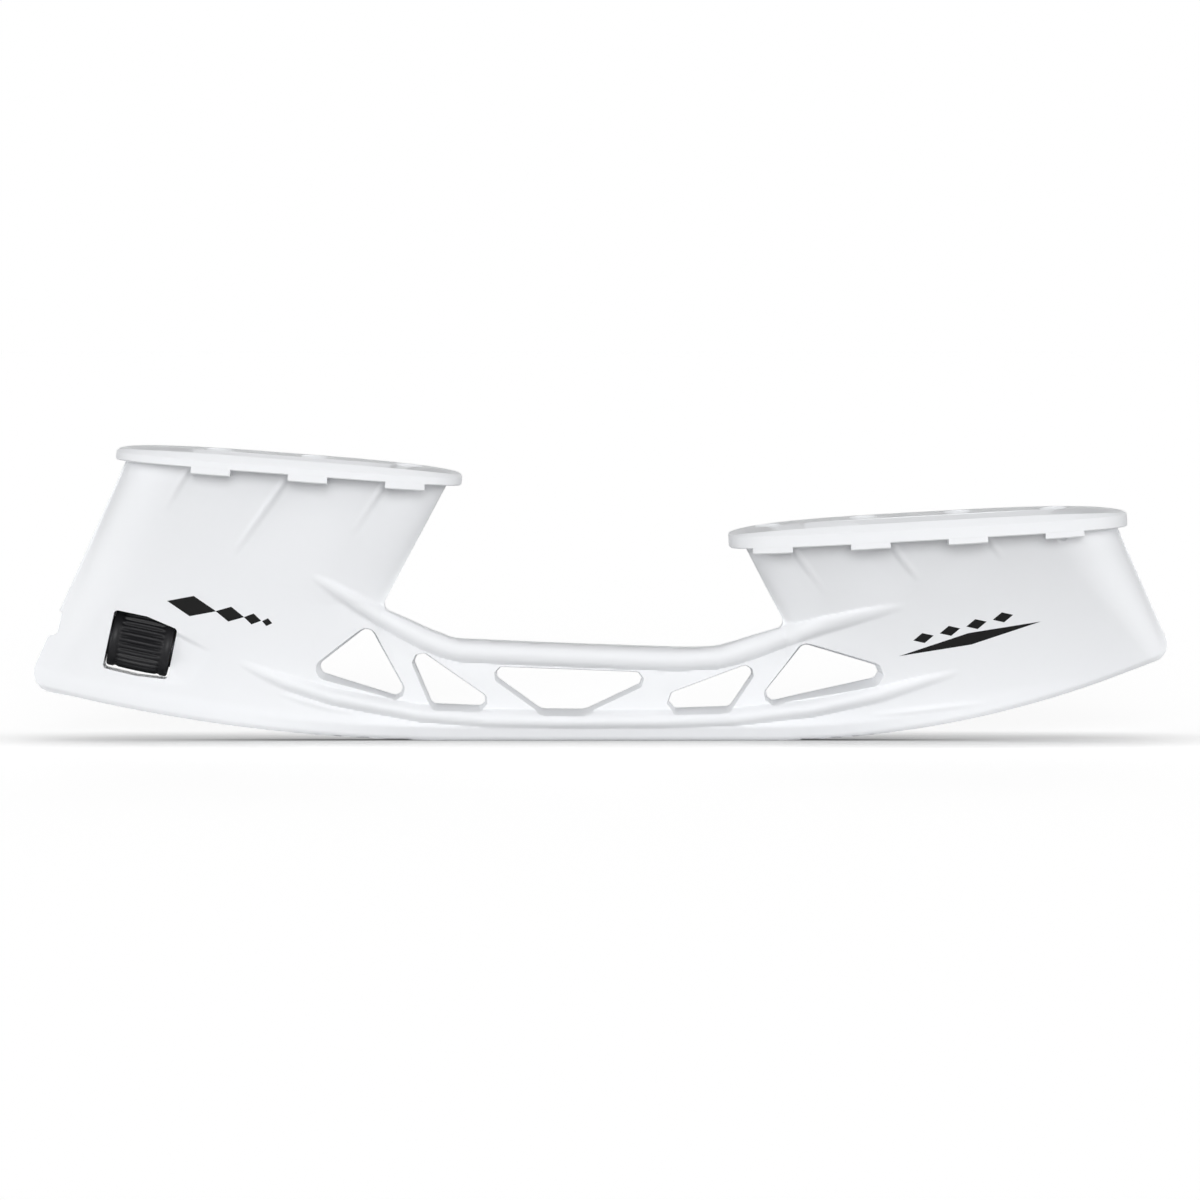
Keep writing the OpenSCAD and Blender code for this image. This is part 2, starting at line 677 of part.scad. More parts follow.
module hook_stem() {
    slot = hook_t + 2 * seat_clear;
    color("silver") difference() {
        union() {
            on_axis(-clip_in) cylinder(d = stem_d, h = clip_in + head_in);
            on_axis(-clip_out) cylinder(d = neck_d, h = clip_t);
            on_axis(-stem_end) cylinder(d = stem_d, h = stem_end - clip_out);
            on_axis(head_in) cylinder(d = head_d, h = head_len);
        }
        on_axis(leg_in - seat_clear) translate([-head_d, -slot / 2, 0]) cube([2 * head_d, slot, head_len]);
        pin_bore();
    }
}
module lock_hook() {
    color("lightsteelblue") difference() {
        axis_plate(hook_t) polygon(rounded(hook_outline, hook_r, 3));
        pin_bore();
    }
}
module hook_pin() {
    pin_sunk = 0.2;
    pin_len = sqrt(head_d * head_d - pin_d * pin_d) - 2 * pin_sunk;
    color("gray") on_axis(pin_at) rotate([90, 0, 0]) cylinder(d = pin_d, h = pin_len, center = true);
}
// A flat ring on the stem
module stem_ring(at, outer_d, length) {
    on_axis(at) difference() {
        cylinder(d = outer_d, h = length);
        translate([0, 0, -past]) cylinder(d = stem_d + 2 * run_clear, h = length + 2 * past);
    }
}
module front_thrust_washer() {
    color("silver") stem_ring(washer_in, washer_d, washer_t);
}
module rear_thrust_washer() {
    color("silver") stem_ring(-washer_out, washer_d, washer_t);
}
module disc_spring() {
    disc_room = 0.4;
    inner = stem_d / 2 + disc_room;
    outer = washer_d / 2;
    color("slategray") on_axis(-disc_out) rotate_extrude() polygon([
        [inner, disc_h - disc_t], [outer, 0], [outer, disc_t], [inner, disc_h]]);
}
module front_bush() {
    color("tan") stem_ring(washer_out, front_bush_d, front_bush_len);
}
module rear_bush() {
    color("tan") stem_ring(-rear_bush_end, rear_bush_d, rear_bush_len);
}
module stem_clip() {
    mouth = neck_d - 1;
    color("dimgray") on_axis(-clip_out) difference() {
        cylinder(d = clip_d, h = clip_t);
        translate([0, 0, -past]) cylinder(d = neck_d + 2 * seat_clear, h = clip_t + 2 * past);
        translate([0, -mouth / 2, -past]) cube([clip_d, mouth, clip_t + 2 * past]);
    }
}
seal_bed_d = rear_bush_d - 2 * seal_d - 4 * seat_clear;
seal_at = plug_in + plug_len / 2;
module rear_plug() {
    driver_len = rear_bush_d * 2 / 3;
    driver_w = 1.2;
    driver_deep = 0.8;
    color("whitesmoke") on_axis(-plug_out) difference() {
        cylinder(d = rear_bush_d, h = plug_len);
        translate([0, 0, plug_out - seal_at - seal_d / 2 - face_gap]) difference() {
            cylinder(d = rear_bush_d + 2 * past, h = seal_d + 2 * face_gap);
            translate([0, 0, -past]) cylinder(d = seal_bed_d, h = seal_d + 2 * face_gap + 2 * past);
        }
        translate([-driver_len / 2, -driver_w / 2, -past]) cube([driver_len, driver_w, past + driver_deep]);
    }
}
module plug_seal() {
    color("black") on_axis(-seal_at) rotate_extrude()
        translate([seal_bed_d / 2 + seal_d / 2 + seat_clear, 0]) circle(d = seal_d);
}

holder_body();
thumb_wheel();
drive_nut();
hook_stem();
lock_hook();
hook_pin();
front_thrust_washer();
rear_thrust_washer();
disc_spring();
front_bush();
rear_bush();
stem_clip();
rear_plug();
plug_seal();
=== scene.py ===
"""Skate blade holder: a white moulded holder with a black thumb wheel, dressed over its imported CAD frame."""

import math

import bpy
import numpy as np
from mathutils import Matrix, Vector


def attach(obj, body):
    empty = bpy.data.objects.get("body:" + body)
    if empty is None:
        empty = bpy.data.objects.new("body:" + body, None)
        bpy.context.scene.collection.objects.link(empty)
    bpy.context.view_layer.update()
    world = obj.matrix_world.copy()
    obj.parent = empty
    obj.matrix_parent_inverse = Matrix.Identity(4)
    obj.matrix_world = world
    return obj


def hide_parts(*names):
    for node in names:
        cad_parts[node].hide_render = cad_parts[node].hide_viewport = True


bl_info = {
    "name": "Skate blade holder",
    "version": (1, 0, 0),
    "blender": (4, 5, 0),
    "location": "View3D > Sidebar > Holder",
    "description": "Builds a moulded skate blade holder with its thumb wheel and lock parts",
    "category": "Object",
}

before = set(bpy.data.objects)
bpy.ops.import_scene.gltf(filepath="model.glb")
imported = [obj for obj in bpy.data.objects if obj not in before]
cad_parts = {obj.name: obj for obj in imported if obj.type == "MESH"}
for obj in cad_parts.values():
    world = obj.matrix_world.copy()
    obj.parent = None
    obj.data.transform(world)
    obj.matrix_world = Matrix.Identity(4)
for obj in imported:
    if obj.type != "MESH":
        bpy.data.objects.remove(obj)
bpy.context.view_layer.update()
MM = 0.001

# The forms below are in millimetres: x from heel to toe, z up, y across.
# A post and its flange are measured outwards from the holder's middle.
HEEL = {
    "side": -1, "mid": 76.9, "length": 85.6, "width": 59.0, "top": 70.4, "rise": 4.4, "thick": 3.8,
    "pad": 1.6, "over_in": 3.4, "over_out": 2.9, "over_side": 9.4, "lean_in": 28.8, "lean_out": 24.5,
    "floor": 40.0, "knee": 34.0, "row": 71.4, "pairs": 3,
}
TOE = {
    "side": 1, "mid": 80.6, "length": 98.5, "width": 69.0, "top": 55.6, "rise": 3.2, "thick": 4.9,
    "pad": 1.4, "over_in": 3.7, "over_out": 2.8, "over_side": 9.6, "lean_in": 28.7, "lean_out": 24.6,
    "floor": 31.0, "knee": 29.5, "row": 77.4, "pairs": 4,
}
FOOT_Z, FOOT_HALF, FLARE_POWER = 3.0, 4.7, 1.55
FLANGE_POWER, RIVET_PITCH, RIVET_INSET, PAD_LENGTH = 3.2, 23.8, 5.6, 9.6
RIVET_RADIUS, SINK_RADIUS, MOUTH_GAP = 2.6, 3.6, 3.9
HOLLOW_POWER, HOLLOW_POINTS, CROSS_RIB_HALF, CROSS_RIB_DROP = 3.4, 120, 1.2, 12
# Rounding of the posts' ends: the inner end, then the outer end low down, its growth and over which heights
END_POWER, END_IN, END_OUT, END_OUT_MORE, END_OUT_FROM, END_OUT_TO = 2.3, 22, 7, 9, 18, 48
POST_BLEND = 2.2
# Skirt below the bead: half widths, height of the taper, radius of the lower edge, and where both fade out
SKIRT_TOP, SKIRT_FOOT, SKIRT_HIGH, SKIRT_ROUND = 4.7, 2.8, 3.4, 1.1
SKIRT_BLEND, SKIRT_FADE = (3, 6), (44, 92)
END_EDGE_DEPTH, END_EDGE_HIGH = 0.7, 1.4
WINDOW_DRAFT, WINDOW_DROP, WINDOW_REACH = 0.21, 0.12, 14
SKIN_X, SKIN_Z, LEAST_HALF, MAX_TRIANGLES = (-142, 142), (-1.5, 72.5), 0.4, 190000
# Half width of a cutter that passes right through, and the angles up to which edges are shaded smooth
THROUGH, BODY_SMOOTH, WHEEL_SMOOTH = 60, math.radians(34), math.radians(38)
# Underside: where each end starts to rise, and the radius of that rise
ROCKER_HEEL, ROCKER_TOE = (35, 420), (40, 245)

# Side outline: heights and radii of the corners, and the bar's upper edge from toe to heel with its rounding
TOE_CORNER, HEEL_CORNER = (21.6, 4.4), (13.2, 5.0)
TOE_FOOT, HEEL_FOOT = (28.2, 2.0), (32.7, 2.0)
BAR_EDGE = [
    (38.5, 26.1), (32.0, 24.1), (29.5, 23.45), (27.0, 23.1), (23.0, 22.95), (18.5, 23.0),
    (-8.0, 23.9), (-33.9, 25.0), (-35.7, 25.1), (-37.5, 25.5), (-42.4, 27.4), (-49.9, 30.8),
]
BAR_ROUND_HIGH, BAR_ROUND_DEPTH, BAR_ROUND_REAR, BAR_ROUND_FRONT = 1.5, 1.1, (-40, -33), (27, 33)

# Windows of the truss, as their corners with a radius each
WINDOWS = [
    [(-57.4, 28.6, 2.0), (-71.5, 17.6, 1.8), (-47.2, 10.0, 1.8)],
    [(-48.5, 24.9, 1.8), (-41.7, 9.1, 1.8), (-24.8, 8.4, 1.6)],
    [(-29.5, 18.4, 1.6), (-14.8, 7.8, 4.0), (-4.0, 7.7, 5.0), (15.1, 16.7, 1.6)],
    [(39.8, 20.2, 1.6), (6.2, 7.6, 2.1), (31.8, 8.4, 2.0)],
    [(50.1, 24.0, 2.0), (38.1, 8.9, 1.8), (73.9, 16.9, 1.8)],
]

# Ribs as stations of [x, z of the crest, half width, height over the surface]
TOP_BAR = [
    (-71.5, 41.2, 0.6, 0.0), (-65.8, 37.7, 1.6, 0.8), (-60.8, 34.6, 2.0, 1.4), (-55.5, 31.4, 2.3, 1.9),
    (-50.0, 28.5, 2.6, 2.2), (-44.5, 25.8, 2.8, 2.3), (-40.0, 23.9, 2.9, 2.3), (-35.0, 22.5, 2.9, 2.3),
    (-20.0, 21.7, 2.9, 2.3), (4.7, 20.7, 2.9, 2.3), (18.7, 20.2, 2.9, 2.3), (28.8, 20.7, 2.9, 2.3),
    (33.5, 21.9, 2.9, 2.3), (40.0, 24.0, 2.8, 2.2), (46.0, 26.1, 2.5, 1.9), (55.0, 29.0, 2.2, 1.4),
    (64.0, 31.4, 1.8, 0.8), (75.0, 34.0, 0.8, 0.0),
]
RAIL_BEAD = [
    (-89.4, 19.6, 0.8, 0.0), (-84.0, 17.0, 1.4, 0.6), (-77.8, 14.5, 1.8, 1.2), (-66.4, 10.9, 2.1, 1.8),
    (-44.8, 6.8, 2.2, 2.0), (-28.0, 5.6, 2.2, 2.0), (-10.0, 5.3, 2.2, 2.0), (15.0, 5.4, 2.2, 2.0),
    (33.0, 5.9, 2.2, 2.0), (52.0, 8.0, 2.2, 1.9), (69.0, 11.6, 2.0, 1.4), (78.8, 14.6, 1.6, 0.8),
    (88.7, 17.3, 0.8, 0.0),
]
FOLDS = [
    [(-80.0, 11.9, 0.7, 0.0), (-74.0, 10.0, 0.9, 0.4), (-67.0, 8.1, 0.9, 0.35), (-60.0, 6.6, 0.7, 0.0)],
    [(66.0, 6.4, 0.7, 0.0), (75.0, 7.2, 0.9, 0.4), (86.0, 8.5, 0.9, 0.35), (95.0, 9.5, 0.7, 0.0)],
]
# How sharp the ribs are across
BAR_SHARP, BEAD_SHARP, FOLD_SHARP = 0.8, 1.0, 1.5
# Relief lines under the rivet pads, as [top, lower end, side of the drop, depth], and the ridge along each
RELIEFS = [
    ((-76.0, 66.4), (-90.3, 46.4), 1, 0.9), ((-52.0, 65.0), (-61.0, 51.4), 1, 0.9),
    ((-100.6, 68.2), (-107.0, 57.6), 1, 0.45), ((46.6, 48.2), (55.0, 36.8), -1, 0.9),
    ((70.6, 49.4), (77.8, 40.2), -1, 0.9), ((94.6, 50.6), (98.4, 45.4), -1, 0.45),
]
RELIEF_EDGE, RELIEF_FADE, RIDGE_SHARE, RIDGE_AT, RIDGE_WIDTH = (-0.1, 0.8), (3, 20), 0.6, 0.5, 0.65

# The wheel's axis, and its window as [down, along] from the wheel's middle, along towards the toe
AXIS_AT = Vector((-113.7, 0.0, 24.4))
AXIS_TILT = math.radians(12)
AXIS = Vector((math.cos(AXIS_TILT), 0.0, -math.sin(AXIS_TILT)))
AXIS_DOWN = Vector((-math.sin(AXIS_TILT), 0.0, -math.cos(AXIS_TILT)))
WHEEL_WINDOW = [(-6.8, -7.95), (8.1, -8.1), (8.3, 0.6), (7.6, 8.2), (-5.2, 8.2), (-6.8, 0.2)]
WHEEL_PLAY, WHEEL_BORE, BAND_LENGTH = 0.35, 4.22, 2.2
# Bores as [start, end, radius] along the axis, and the hook's pocket as [down, along]
LOCK_BORES = [(-9.3, 8.5, 4.9), (0, 11.52, 4.42), (0, 22.3, 4.2), (-40, 0, 4.62), (-40, -20.6, 5.4)]
HOOK_POCKET = [(-3.0, 13.1), (-3.0, 21.9), (15.2, 21.9), (15.2, 9.9), (8.0, 9.9), (8.0, 13.1)]
POCKET_HALF = 1.7
# Thumb facet ahead of the wheel: corner on its front edge, foot of that edge,
# and the rear ends of its upper and lower edges
FACET_TIP, FACET_FOOT, FACET_TOP, FACET_LOW = (-95.4, 22.4), (-102.1, 13.9), (-112.0, 30.9), (-112.0, 14.4)
FACET_DEPTH, FACET_RUN, FACET_RISE, FACET_BLEND, FACET_REAR = 1.0, 8, 5, (0, 1.2), (9, 13)
# Runner slot: half width, ends, depth, and the deeper part at the toe as [x, height over the underside]
SLOT_HALF, SLOT_ENDS, SLOT_DEPTH, SLOT_TOE = 1.6, (-121.1, 120.5), 5, 106.0
SLOT_TAB = [(SLOT_TOE, -2), (123, -2), (123, 11), (114.5, 11), (SLOT_TOE, SLOT_DEPTH)]

# Printed marks as [x, z, half length, half height, slant in degrees]
MARKS = [
    (-101.0, 33.6, 6.2, 2.6, -12), (-91.6, 31.6, 3.6, 1.9, -12), (-86.0, 30.4, 2.2, 1.4, -12),
    (-82.4, 29.6, 1.3, 1.0, -12), (91.0, 25.6, 18.0, 1.5, 14), (79.5, 25.8, 2.6, 1.3, 14),
    (86.0, 27.6, 2.6, 1.3, 14), (92.5, 29.3, 2.6, 1.3, 14), (99.0, 31.0, 2.6, 1.3, 14),
]

# The stage, with lengths in metres, and lamps as [turn from the front, height, spread, strength] in degrees
LAMPS = {
    "heel_softbox": (-72, 6, 34, 1.6), "front_softbox": (0, 8, 22, 2.02),
    "toe_softbox": (72, 6, 34, 1.6), "rear_softbox": (180, 6, 34, 1.2),
}
SKY_LIGHT, FLOOR_GREY, FLOOR_GLOW, FLOOR_SIZE = 0.24, 0.55, 0.72, 12
# How far and how strongly ambient occlusion dims the floor's glow: a painted contact shadow
SHADOW_REACH, SHADOW_POWER = 0.035, 1.5
CAMERA_TARGET, CAMERA_AWAY, CAMERA_HEIGHT = Vector((-0.00025, 0, 0.0347)), 2.2, 0.131
FIELD_WIDTH, SENSOR_WIDTH = 0.2973, 36


class HolderSizes(bpy.types.PropertyGroup):
    """Sizes of the holder that a user would change"""

    rim_bevel: bpy.props.FloatProperty(
        name="Rim bevel", description="Height of the bevel along the rim", default=0.0017, unit="LENGTH")
    rim_bevel_in: bpy.props.FloatProperty(
        name="Rim bevel reach", description="How far the rim's bevel reaches inwards",
        default=0.0012, unit="LENGTH")
    dish_radius: bpy.props.FloatProperty(
        name="Dish radius", description="Radius of the boot sole on the flanges", default=0.33, unit="LENGTH")
    post_wall: bpy.props.FloatProperty(
        name="Post wall", description="Wall of the hollow posts", default=0.0032, unit="LENGTH")
    web_half: bpy.props.FloatProperty(
        name="Web half thickness", description="Half the thickness of the truss web",
        default=0.0042, unit="LENGTH")
    window_land: bpy.props.FloatProperty(
        name="Window land", description="Half width of the straight part of a window's wall",
        default=0.0012, unit="LENGTH")
    skin_grain: bpy.props.FloatProperty(
        name="Skin detail", description="Mesh size of the moulded skin",
        default=0.00042, unit="LENGTH", precision=5)
    wheel_radius: bpy.props.FloatProperty(
        name="Wheel radius", description="Radius over the ribs", default=0.0074, unit="LENGTH")
    wheel_length: bpy.props.FloatProperty(
        name="Wheel length", description="Length of the wheel", default=0.0152, unit="LENGTH")
    rib_depth: bpy.props.FloatProperty(
        name="Rib depth", description="Depth of the grooves between ribs",
        default=0.0006, unit="LENGTH", precision=5)
    rib_count: bpy.props.IntProperty(name="Ribs", description="Ribs round the wheel", default=28)


class HolderColours(bpy.types.PropertyGroup):
    """Colours of the holder's finishes"""

    plastic: bpy.props.FloatVectorProperty(
        name="Holder white", description="Moulded nylon", subtype="COLOR", default=(0.83, 0.84, 0.855))
    plastic_shade: bpy.props.FloatVectorProperty(
        name="Holder shade", description="Cooler drift in the nylon",
        subtype="COLOR", default=(0.80, 0.812, 0.835))
    print_black: bpy.props.FloatVectorProperty(
        name="Print", description="Pad-printed marks", subtype="COLOR", default=(0.004, 0.004, 0.004))
    wheel_black: bpy.props.FloatVectorProperty(
        name="Wheel black", description="Moulded wheel", subtype="COLOR", default=(0.007, 0.007, 0.008))
    steel: bpy.props.FloatVectorProperty(
        name="Steel", description="Turned and stamped steel", subtype="COLOR", default=(0.60, 0.61, 0.63))
    spring_steel: bpy.props.FloatVectorProperty(
        name="Spring steel", description="Blued spring steel", subtype="COLOR", default=(0.25, 0.26, 0.29))
    brass: bpy.props.FloatVectorProperty(
        name="Brass", description="Turned brass", subtype="COLOR", default=(0.72, 0.52, 0.22))
    acetal: bpy.props.FloatVectorProperty(
        name="Bush plastic", description="Moulded acetal", subtype="COLOR", default=(0.62, 0.54, 0.38))
    rubber: bpy.props.FloatVectorProperty(
        name="Seal rubber", description="Ring seal", subtype="COLOR", default=(0.02, 0.02, 0.02))


def sizes():
    """The size settings, with lengths in millimetres"""
    group = bpy.context.scene.holder_sizes
    found = {}
    for key in HolderSizes.__annotations__:
        value = getattr(group, key)
        found[key] = value if key == "rib_count" else value / MM
    return found


def colours():
    return bpy.context.scene.holder_colours


# Making and joining meshes

def deselect_all():
    if bpy.context.object and bpy.context.object.mode != "OBJECT":
        bpy.ops.object.mode_set(mode="OBJECT")
    bpy.ops.object.select_all(action="DESELECT")


def only(piece):
    deselect_all()
    piece.select_set(True)
    bpy.context.view_layer.objects.active = piece
    return piece


def named(name):
    piece = bpy.context.object
    piece.name = name
    piece.data.name = name
    return piece


def place_vertices(piece, points):
    """Moves a piece's vertices to points in millimetres"""
    piece.data.vertices.foreach_set("co", (np.asarray(points, float) * MM).astype(np.float32).ravel())
    piece.data.update()


def apply_modifier(piece, kind, **settings):
    only(piece)
    modifier = piece.modifiers.new(kind.title(), kind)
    for key, value in settings.items():
        setattr(modifier, key, value)
    bpy.ops.object.modifier_apply(modifier=modifier.name)


def join_solid(piece, other, operation):
    apply_modifier(piece, "BOOLEAN", object=other, operation=operation, solver="MANIFOLD")
    bpy.data.objects.remove(other)
    return piece


def set_transform(piece, matrix):
    piece.matrix_world = matrix
    only(piece)
    bpy.ops.object.transform_apply(location=True, rotation=True, scale=True)


def turn_outwards():
    """Turns all the faces of the piece in hand outwards"""
    bpy.ops.mesh.select_all(action="SELECT")
    bpy.ops.mesh.normals_make_consistent(inside=False)
    bpy.ops.object.mode_set(mode="OBJECT")


def rectangle(middle, half, low, high):
    """Side-view outline of an upright bar"""
    return [(middle - half, low), (middle + half, low), (middle + half, high), (middle - half, high)]


def plate(name, outline, y0, y1):
    """A plate with a side-view outline of [x, z], from y0 to y1"""
    deselect_all()
    bpy.ops.mesh.primitive_circle_add(vertices=len(outline), fill_type="NGON")
    piece = named(name)
    place_vertices(piece, [(x, y0, z) for x, z in outline])
    bpy.ops.object.mode_set(mode="EDIT")
    bpy.ops.mesh.select_all(action="SELECT")
    bpy.ops.mesh.extrude_region_move(TRANSFORM_OT_translate={"value": (0, (y1 - y0) * MM, 0)})
    turn_outwards()
    return piece


def ring_loft(name, outline, rings):
    """Extrudes a unit outline through rings of [centre x, z, half length, half width]"""
    deselect_all()
    bpy.ops.mesh.primitive_circle_add(vertices=len(outline), fill_type="NGON")
    piece = named(name)
    x0, z0, length0, width0 = rings[0]
    place_vertices(piece, [(x0 + x * length0, y * width0, z0) for x, y in outline])
    bpy.ops.object.mode_set(mode="EDIT")
    bpy.ops.mesh.select_all(action="SELECT")
    for (xa, za, la, wa), (xb, zb, lb, wb) in zip(rings, rings[1:]):
        step = ((xb - xa) * MM, 0, (zb - za) * MM)
        bpy.ops.mesh.extrude_region_move(TRANSFORM_OT_translate={"value": step})
        bpy.ops.transform.resize(value=(lb / la, wb / wa, 1), center_override=(xb * MM, 0, zb * MM))
    turn_outwards()
    return piece


def axis_matrix(at):
    """Stands a piece's own Z on the wheel's axis, at a distance from the wheel's middle"""
    return Matrix.Translation((AXIS_AT + AXIS * at) * MM) @ Matrix.Rotation(math.pi / 2 + AXIS_TILT, 4, "Y")


def axis_cylinder(start, end, radius):
    deselect_all()
    bpy.ops.mesh.primitive_cylinder_add(vertices=96, radius=radius * MM, depth=(end - start) * MM)
    piece = named("bore")
    set_transform(piece, axis_matrix((start + end) / 2))
    return piece


def axis_points(outline):
    """Side-view points from [down, along] on the wheel's axis"""
    points = [AXIS_AT + AXIS_DOWN * down + AXIS * along for down, along in outline]
    return [(p.x, p.z) for p in points]


def corner_sides(before, point, after):
    """A corner's point, the directions of its two sides, and half the angle between them"""
    a, p, b = (np.array(v[:2], float) for v in (before, point, after))
    ua, ub = (a - p) / np.linalg.norm(a - p), (b - p) / np.linalg.norm(b - p)
    return p, ua, ub, math.acos(max(-1.0, min(1.0, float(ua @ ub)))) / 2


def corner(before, point, after, radius, steps=6):
    """Points round a corner"""
    p, ua, ub, half = corner_sides(before, point, after)
    centre = p + (ua + ub) / np.linalg.norm(ua + ub) * radius / math.sin(half)
    start, end = p + ua * radius / math.tan(half), p + ub * radius / math.tan(half)
    chord = [start + (end - start) * k / steps - centre for k in range(steps + 1)]
    return [tuple(centre + q / np.linalg.norm(q) * radius) for q in chord]


def rounded(corners):
    """An outline of corners of [x, z, radius], rounded"""
    count, out = len(corners), []
    for i, here in enumerate(corners):
        out += corner(corners[i - 1], here, corners[(i + 1) % count], here[2])
    return out


def widened(corners, by):
    """Corners of an outline moved outwards, with their radii"""
    count, out = len(corners), []
    for i, here in enumerate(corners):
        p, ua, ub, half = corner_sides(corners[i - 1], here, corners[(i + 1) % count])
        x, z = p - (ua + ub) / np.linalg.norm(ua + ub) * by / math.sin(half)
        out.append((x, z, here[2] + by))
    return out


def unit_oval(power, count):
    angles = np.linspace(0, 2 * math.pi, count, endpoint=False)
    c, s = np.cos(angles), np.sin(angles)
    return list(zip(np.sign(c) * np.abs(c) ** (2 / power), np.sign(s) * np.abs(s) ** (2 / power)))


# The moulding's form

def smooth_step(low, high, value):
    t = np.clip((value - low) / (high - low), 0, 1)
    return t * t * (3 - 2 * t)


def soft_max(a, b, reach):
    h = np.clip(0.5 + 0.5 * (a - b) / reach, 0, 1)
    return b + (a - b) * h + reach * h * (1 - h)


def bottom_line(x):
    """Height of the holder's underside"""
    rear, front = np.clip(-x - ROCKER_HEEL[0], 0, None), np.clip(x - ROCKER_TOE[0], 0, None)
    heel, toe = ROCKER_HEEL[1], ROCKER_TOE[1]
    return heel - np.sqrt(heel ** 2 - rear ** 2) + toe - np.sqrt(toe ** 2 - front ** 2)


def flange_top(post, u):
    return post["top"] + math.tan(math.radians(post["rise"])) * (u - post["mid"])


def post_edges(post, z):
    """Inner and outer edge of a post at a height"""
    u_in = post["mid"] - post["length"] / 2 + post["over_in"]
    u_out = post["mid"] + post["length"] / 2 - post["over_out"]
    inner = u_in + math.tan(math.radians(post["lean_in"])) * (flange_top(post, u_in) - post["thick"] - z)
    outer = u_out + math.tan(math.radians(post["lean_out"])) * (flange_top(post, u_out) - post["thick"] - z)
    return inner, outer


def flare(post, u, z):
    """Half width of a post's sides, growing towards the flange"""
    level = z - math.tan(math.radians(post["rise"])) * (u - post["mid"])
    share = np.clip((level - FOOT_Z) / (post["top"] - post["thick"] - FOOT_Z), 0, 1.05)
    return FOOT_HALF + (post["width"] / 2 - post["over_side"] - FOOT_HALF) * share ** FLARE_POWER


def round_end(distance, depth):
    t = np.clip(1 - distance / depth, 0, 1)
    return (1 - t ** END_POWER) ** (1 / END_POWER)


def post_half(post, x, z):
    """Half width of a post between its rounded ends"""
    u = post["side"] * x
    inner, _ = post_edges(post, np.maximum(z, post["knee"]))
    _, outer = post_edges(post, z)
    depth_out = END_OUT + END_OUT_MORE * smooth_step(END_OUT_FROM, END_OUT_TO, z)
    inside = (u - inner) * math.cos(math.radians(post["lean_in"]))
    outside = (outer - u) * math.cos(math.radians(post["lean_out"]))
    half = flare(post, u, z) * round_end(np.clip(inside, 0, None), END_IN)
    return half * round_end(np.clip(outside, 0, None), depth_out)


def rib_height(stations, x, z, sharp):
    """Height that a rib adds to the surface"""
    s = np.array(stations, float)
    crest = np.interp(x, s[:, 0], s[:, 1])
    slope = np.interp(x, s[:, 0], np.gradient(s[:, 1], s[:, 0]))
    half, height = np.interp(x, s[:, 0], s[:, 2]), np.interp(x, s[:, 0], s[:, 3])
    t = np.clip(np.abs(z - crest) / np.sqrt(1 + slope ** 2) / half, 0, 1)
    on = (x > s[0, 0]) & (x < s[-1, 0])
    return np.where(on, height * (1 - t ** 2) ** sharp, 0)


def relief_drop(start, end, side, depth, x, z):
    """A shallow step beside a slanting line under a rivet pad"""
    ax, az = start
    dx, dz = end[0] - ax, end[1] - az
    length = math.hypot(dx, dz)
    along = ((x - ax) * dx + (z - az) * dz) / length ** 2
    away = side * ((x - ax) * -dz + (z - az) * dx) / length
    fade = np.clip(1 - along, 0, 1) * (along < 1)
    drop = depth * fade * smooth_step(*RELIEF_EDGE, away) * (1 - smooth_step(*RELIEF_FADE, away))
    ridge = RIDGE_SHARE * depth * np.sqrt(fade) * np.exp(-((away + RIDGE_AT) / RIDGE_WIDTH) ** 2)
    return drop - ridge


def half_width(x, z, size):
    """Half width of the whole moulding at a point of its side view"""
    level = z - bottom_line(x)
    web = size["web_half"] + (SKIRT_TOP - size["web_half"]) * (1 - smooth_step(*SKIRT_BLEND, level))
    half = soft_max(post_half(HEEL, x, z), web, POST_BLEND)
    half = soft_max(post_half(TOE, x, z), half, POST_BLEND)
    taper = (SKIRT_TOP - SKIRT_FOOT) * np.clip(1 - level / SKIRT_HIGH, 0, 1)
    edge_round = 1 - np.sqrt(1 - np.clip(1 - level / SKIRT_ROUND, 0, 1) ** 2)
    ends = smooth_step(*SKIRT_FADE, np.abs(x))
    half = half - (taper + edge_round) * (1 - ends)
    half = half - END_EDGE_DEPTH * ends * np.clip(1 - level / END_EDGE_HIGH, 0, 1) ** 2
    half = half + rib_height(TOP_BAR, x, z, BAR_SHARP) + rib_height(RAIL_BEAD, x, z, BEAD_SHARP)
    for fold in FOLDS:
        half = half + rib_height(fold, x, z, FOLD_SHARP)
    for start, end, side, depth in RELIEFS:
        half = half - relief_drop(start, end, side, depth, x, z)
    edge = np.array(BAR_EDGE[::-1])
    t = np.clip(1 - (np.interp(x, edge[:, 0], edge[:, 1]) - z) / BAR_ROUND_HIGH, 0, 1)
    middle = smooth_step(*BAR_ROUND_REAR, x) * (1 - smooth_step(*BAR_ROUND_FRONT, x))
    return half - thumb_facet(x, z) - BAR_ROUND_DEPTH * middle * (1 - np.sqrt(1 - t ** 2))


def line_distance(start, end, x, z):
    """Distance from a line, positive on its left as it runs"""
    dx, dz = end[0] - start[0], end[1] - start[1]
    return ((z - start[1]) * dx - (x - start[0]) * dz) / math.hypot(dx, dz)


def thumb_facet(x, z):
    """Flat cut ahead of the wheel, running out at its front edge"""
    back, low = line_distance(FACET_FOOT, FACET_TIP, x, z), line_distance(FACET_LOW, FACET_FOOT, x, z)
    below = smooth_step(*FACET_BLEND, line_distance(FACET_TIP, FACET_TOP, x, z))
    share = np.clip(np.minimum(back / FACET_RUN, low / FACET_RISE), 0, 1)
    return FACET_DEPTH * share * below * (1 - smooth_step(*FACET_REAR, back))


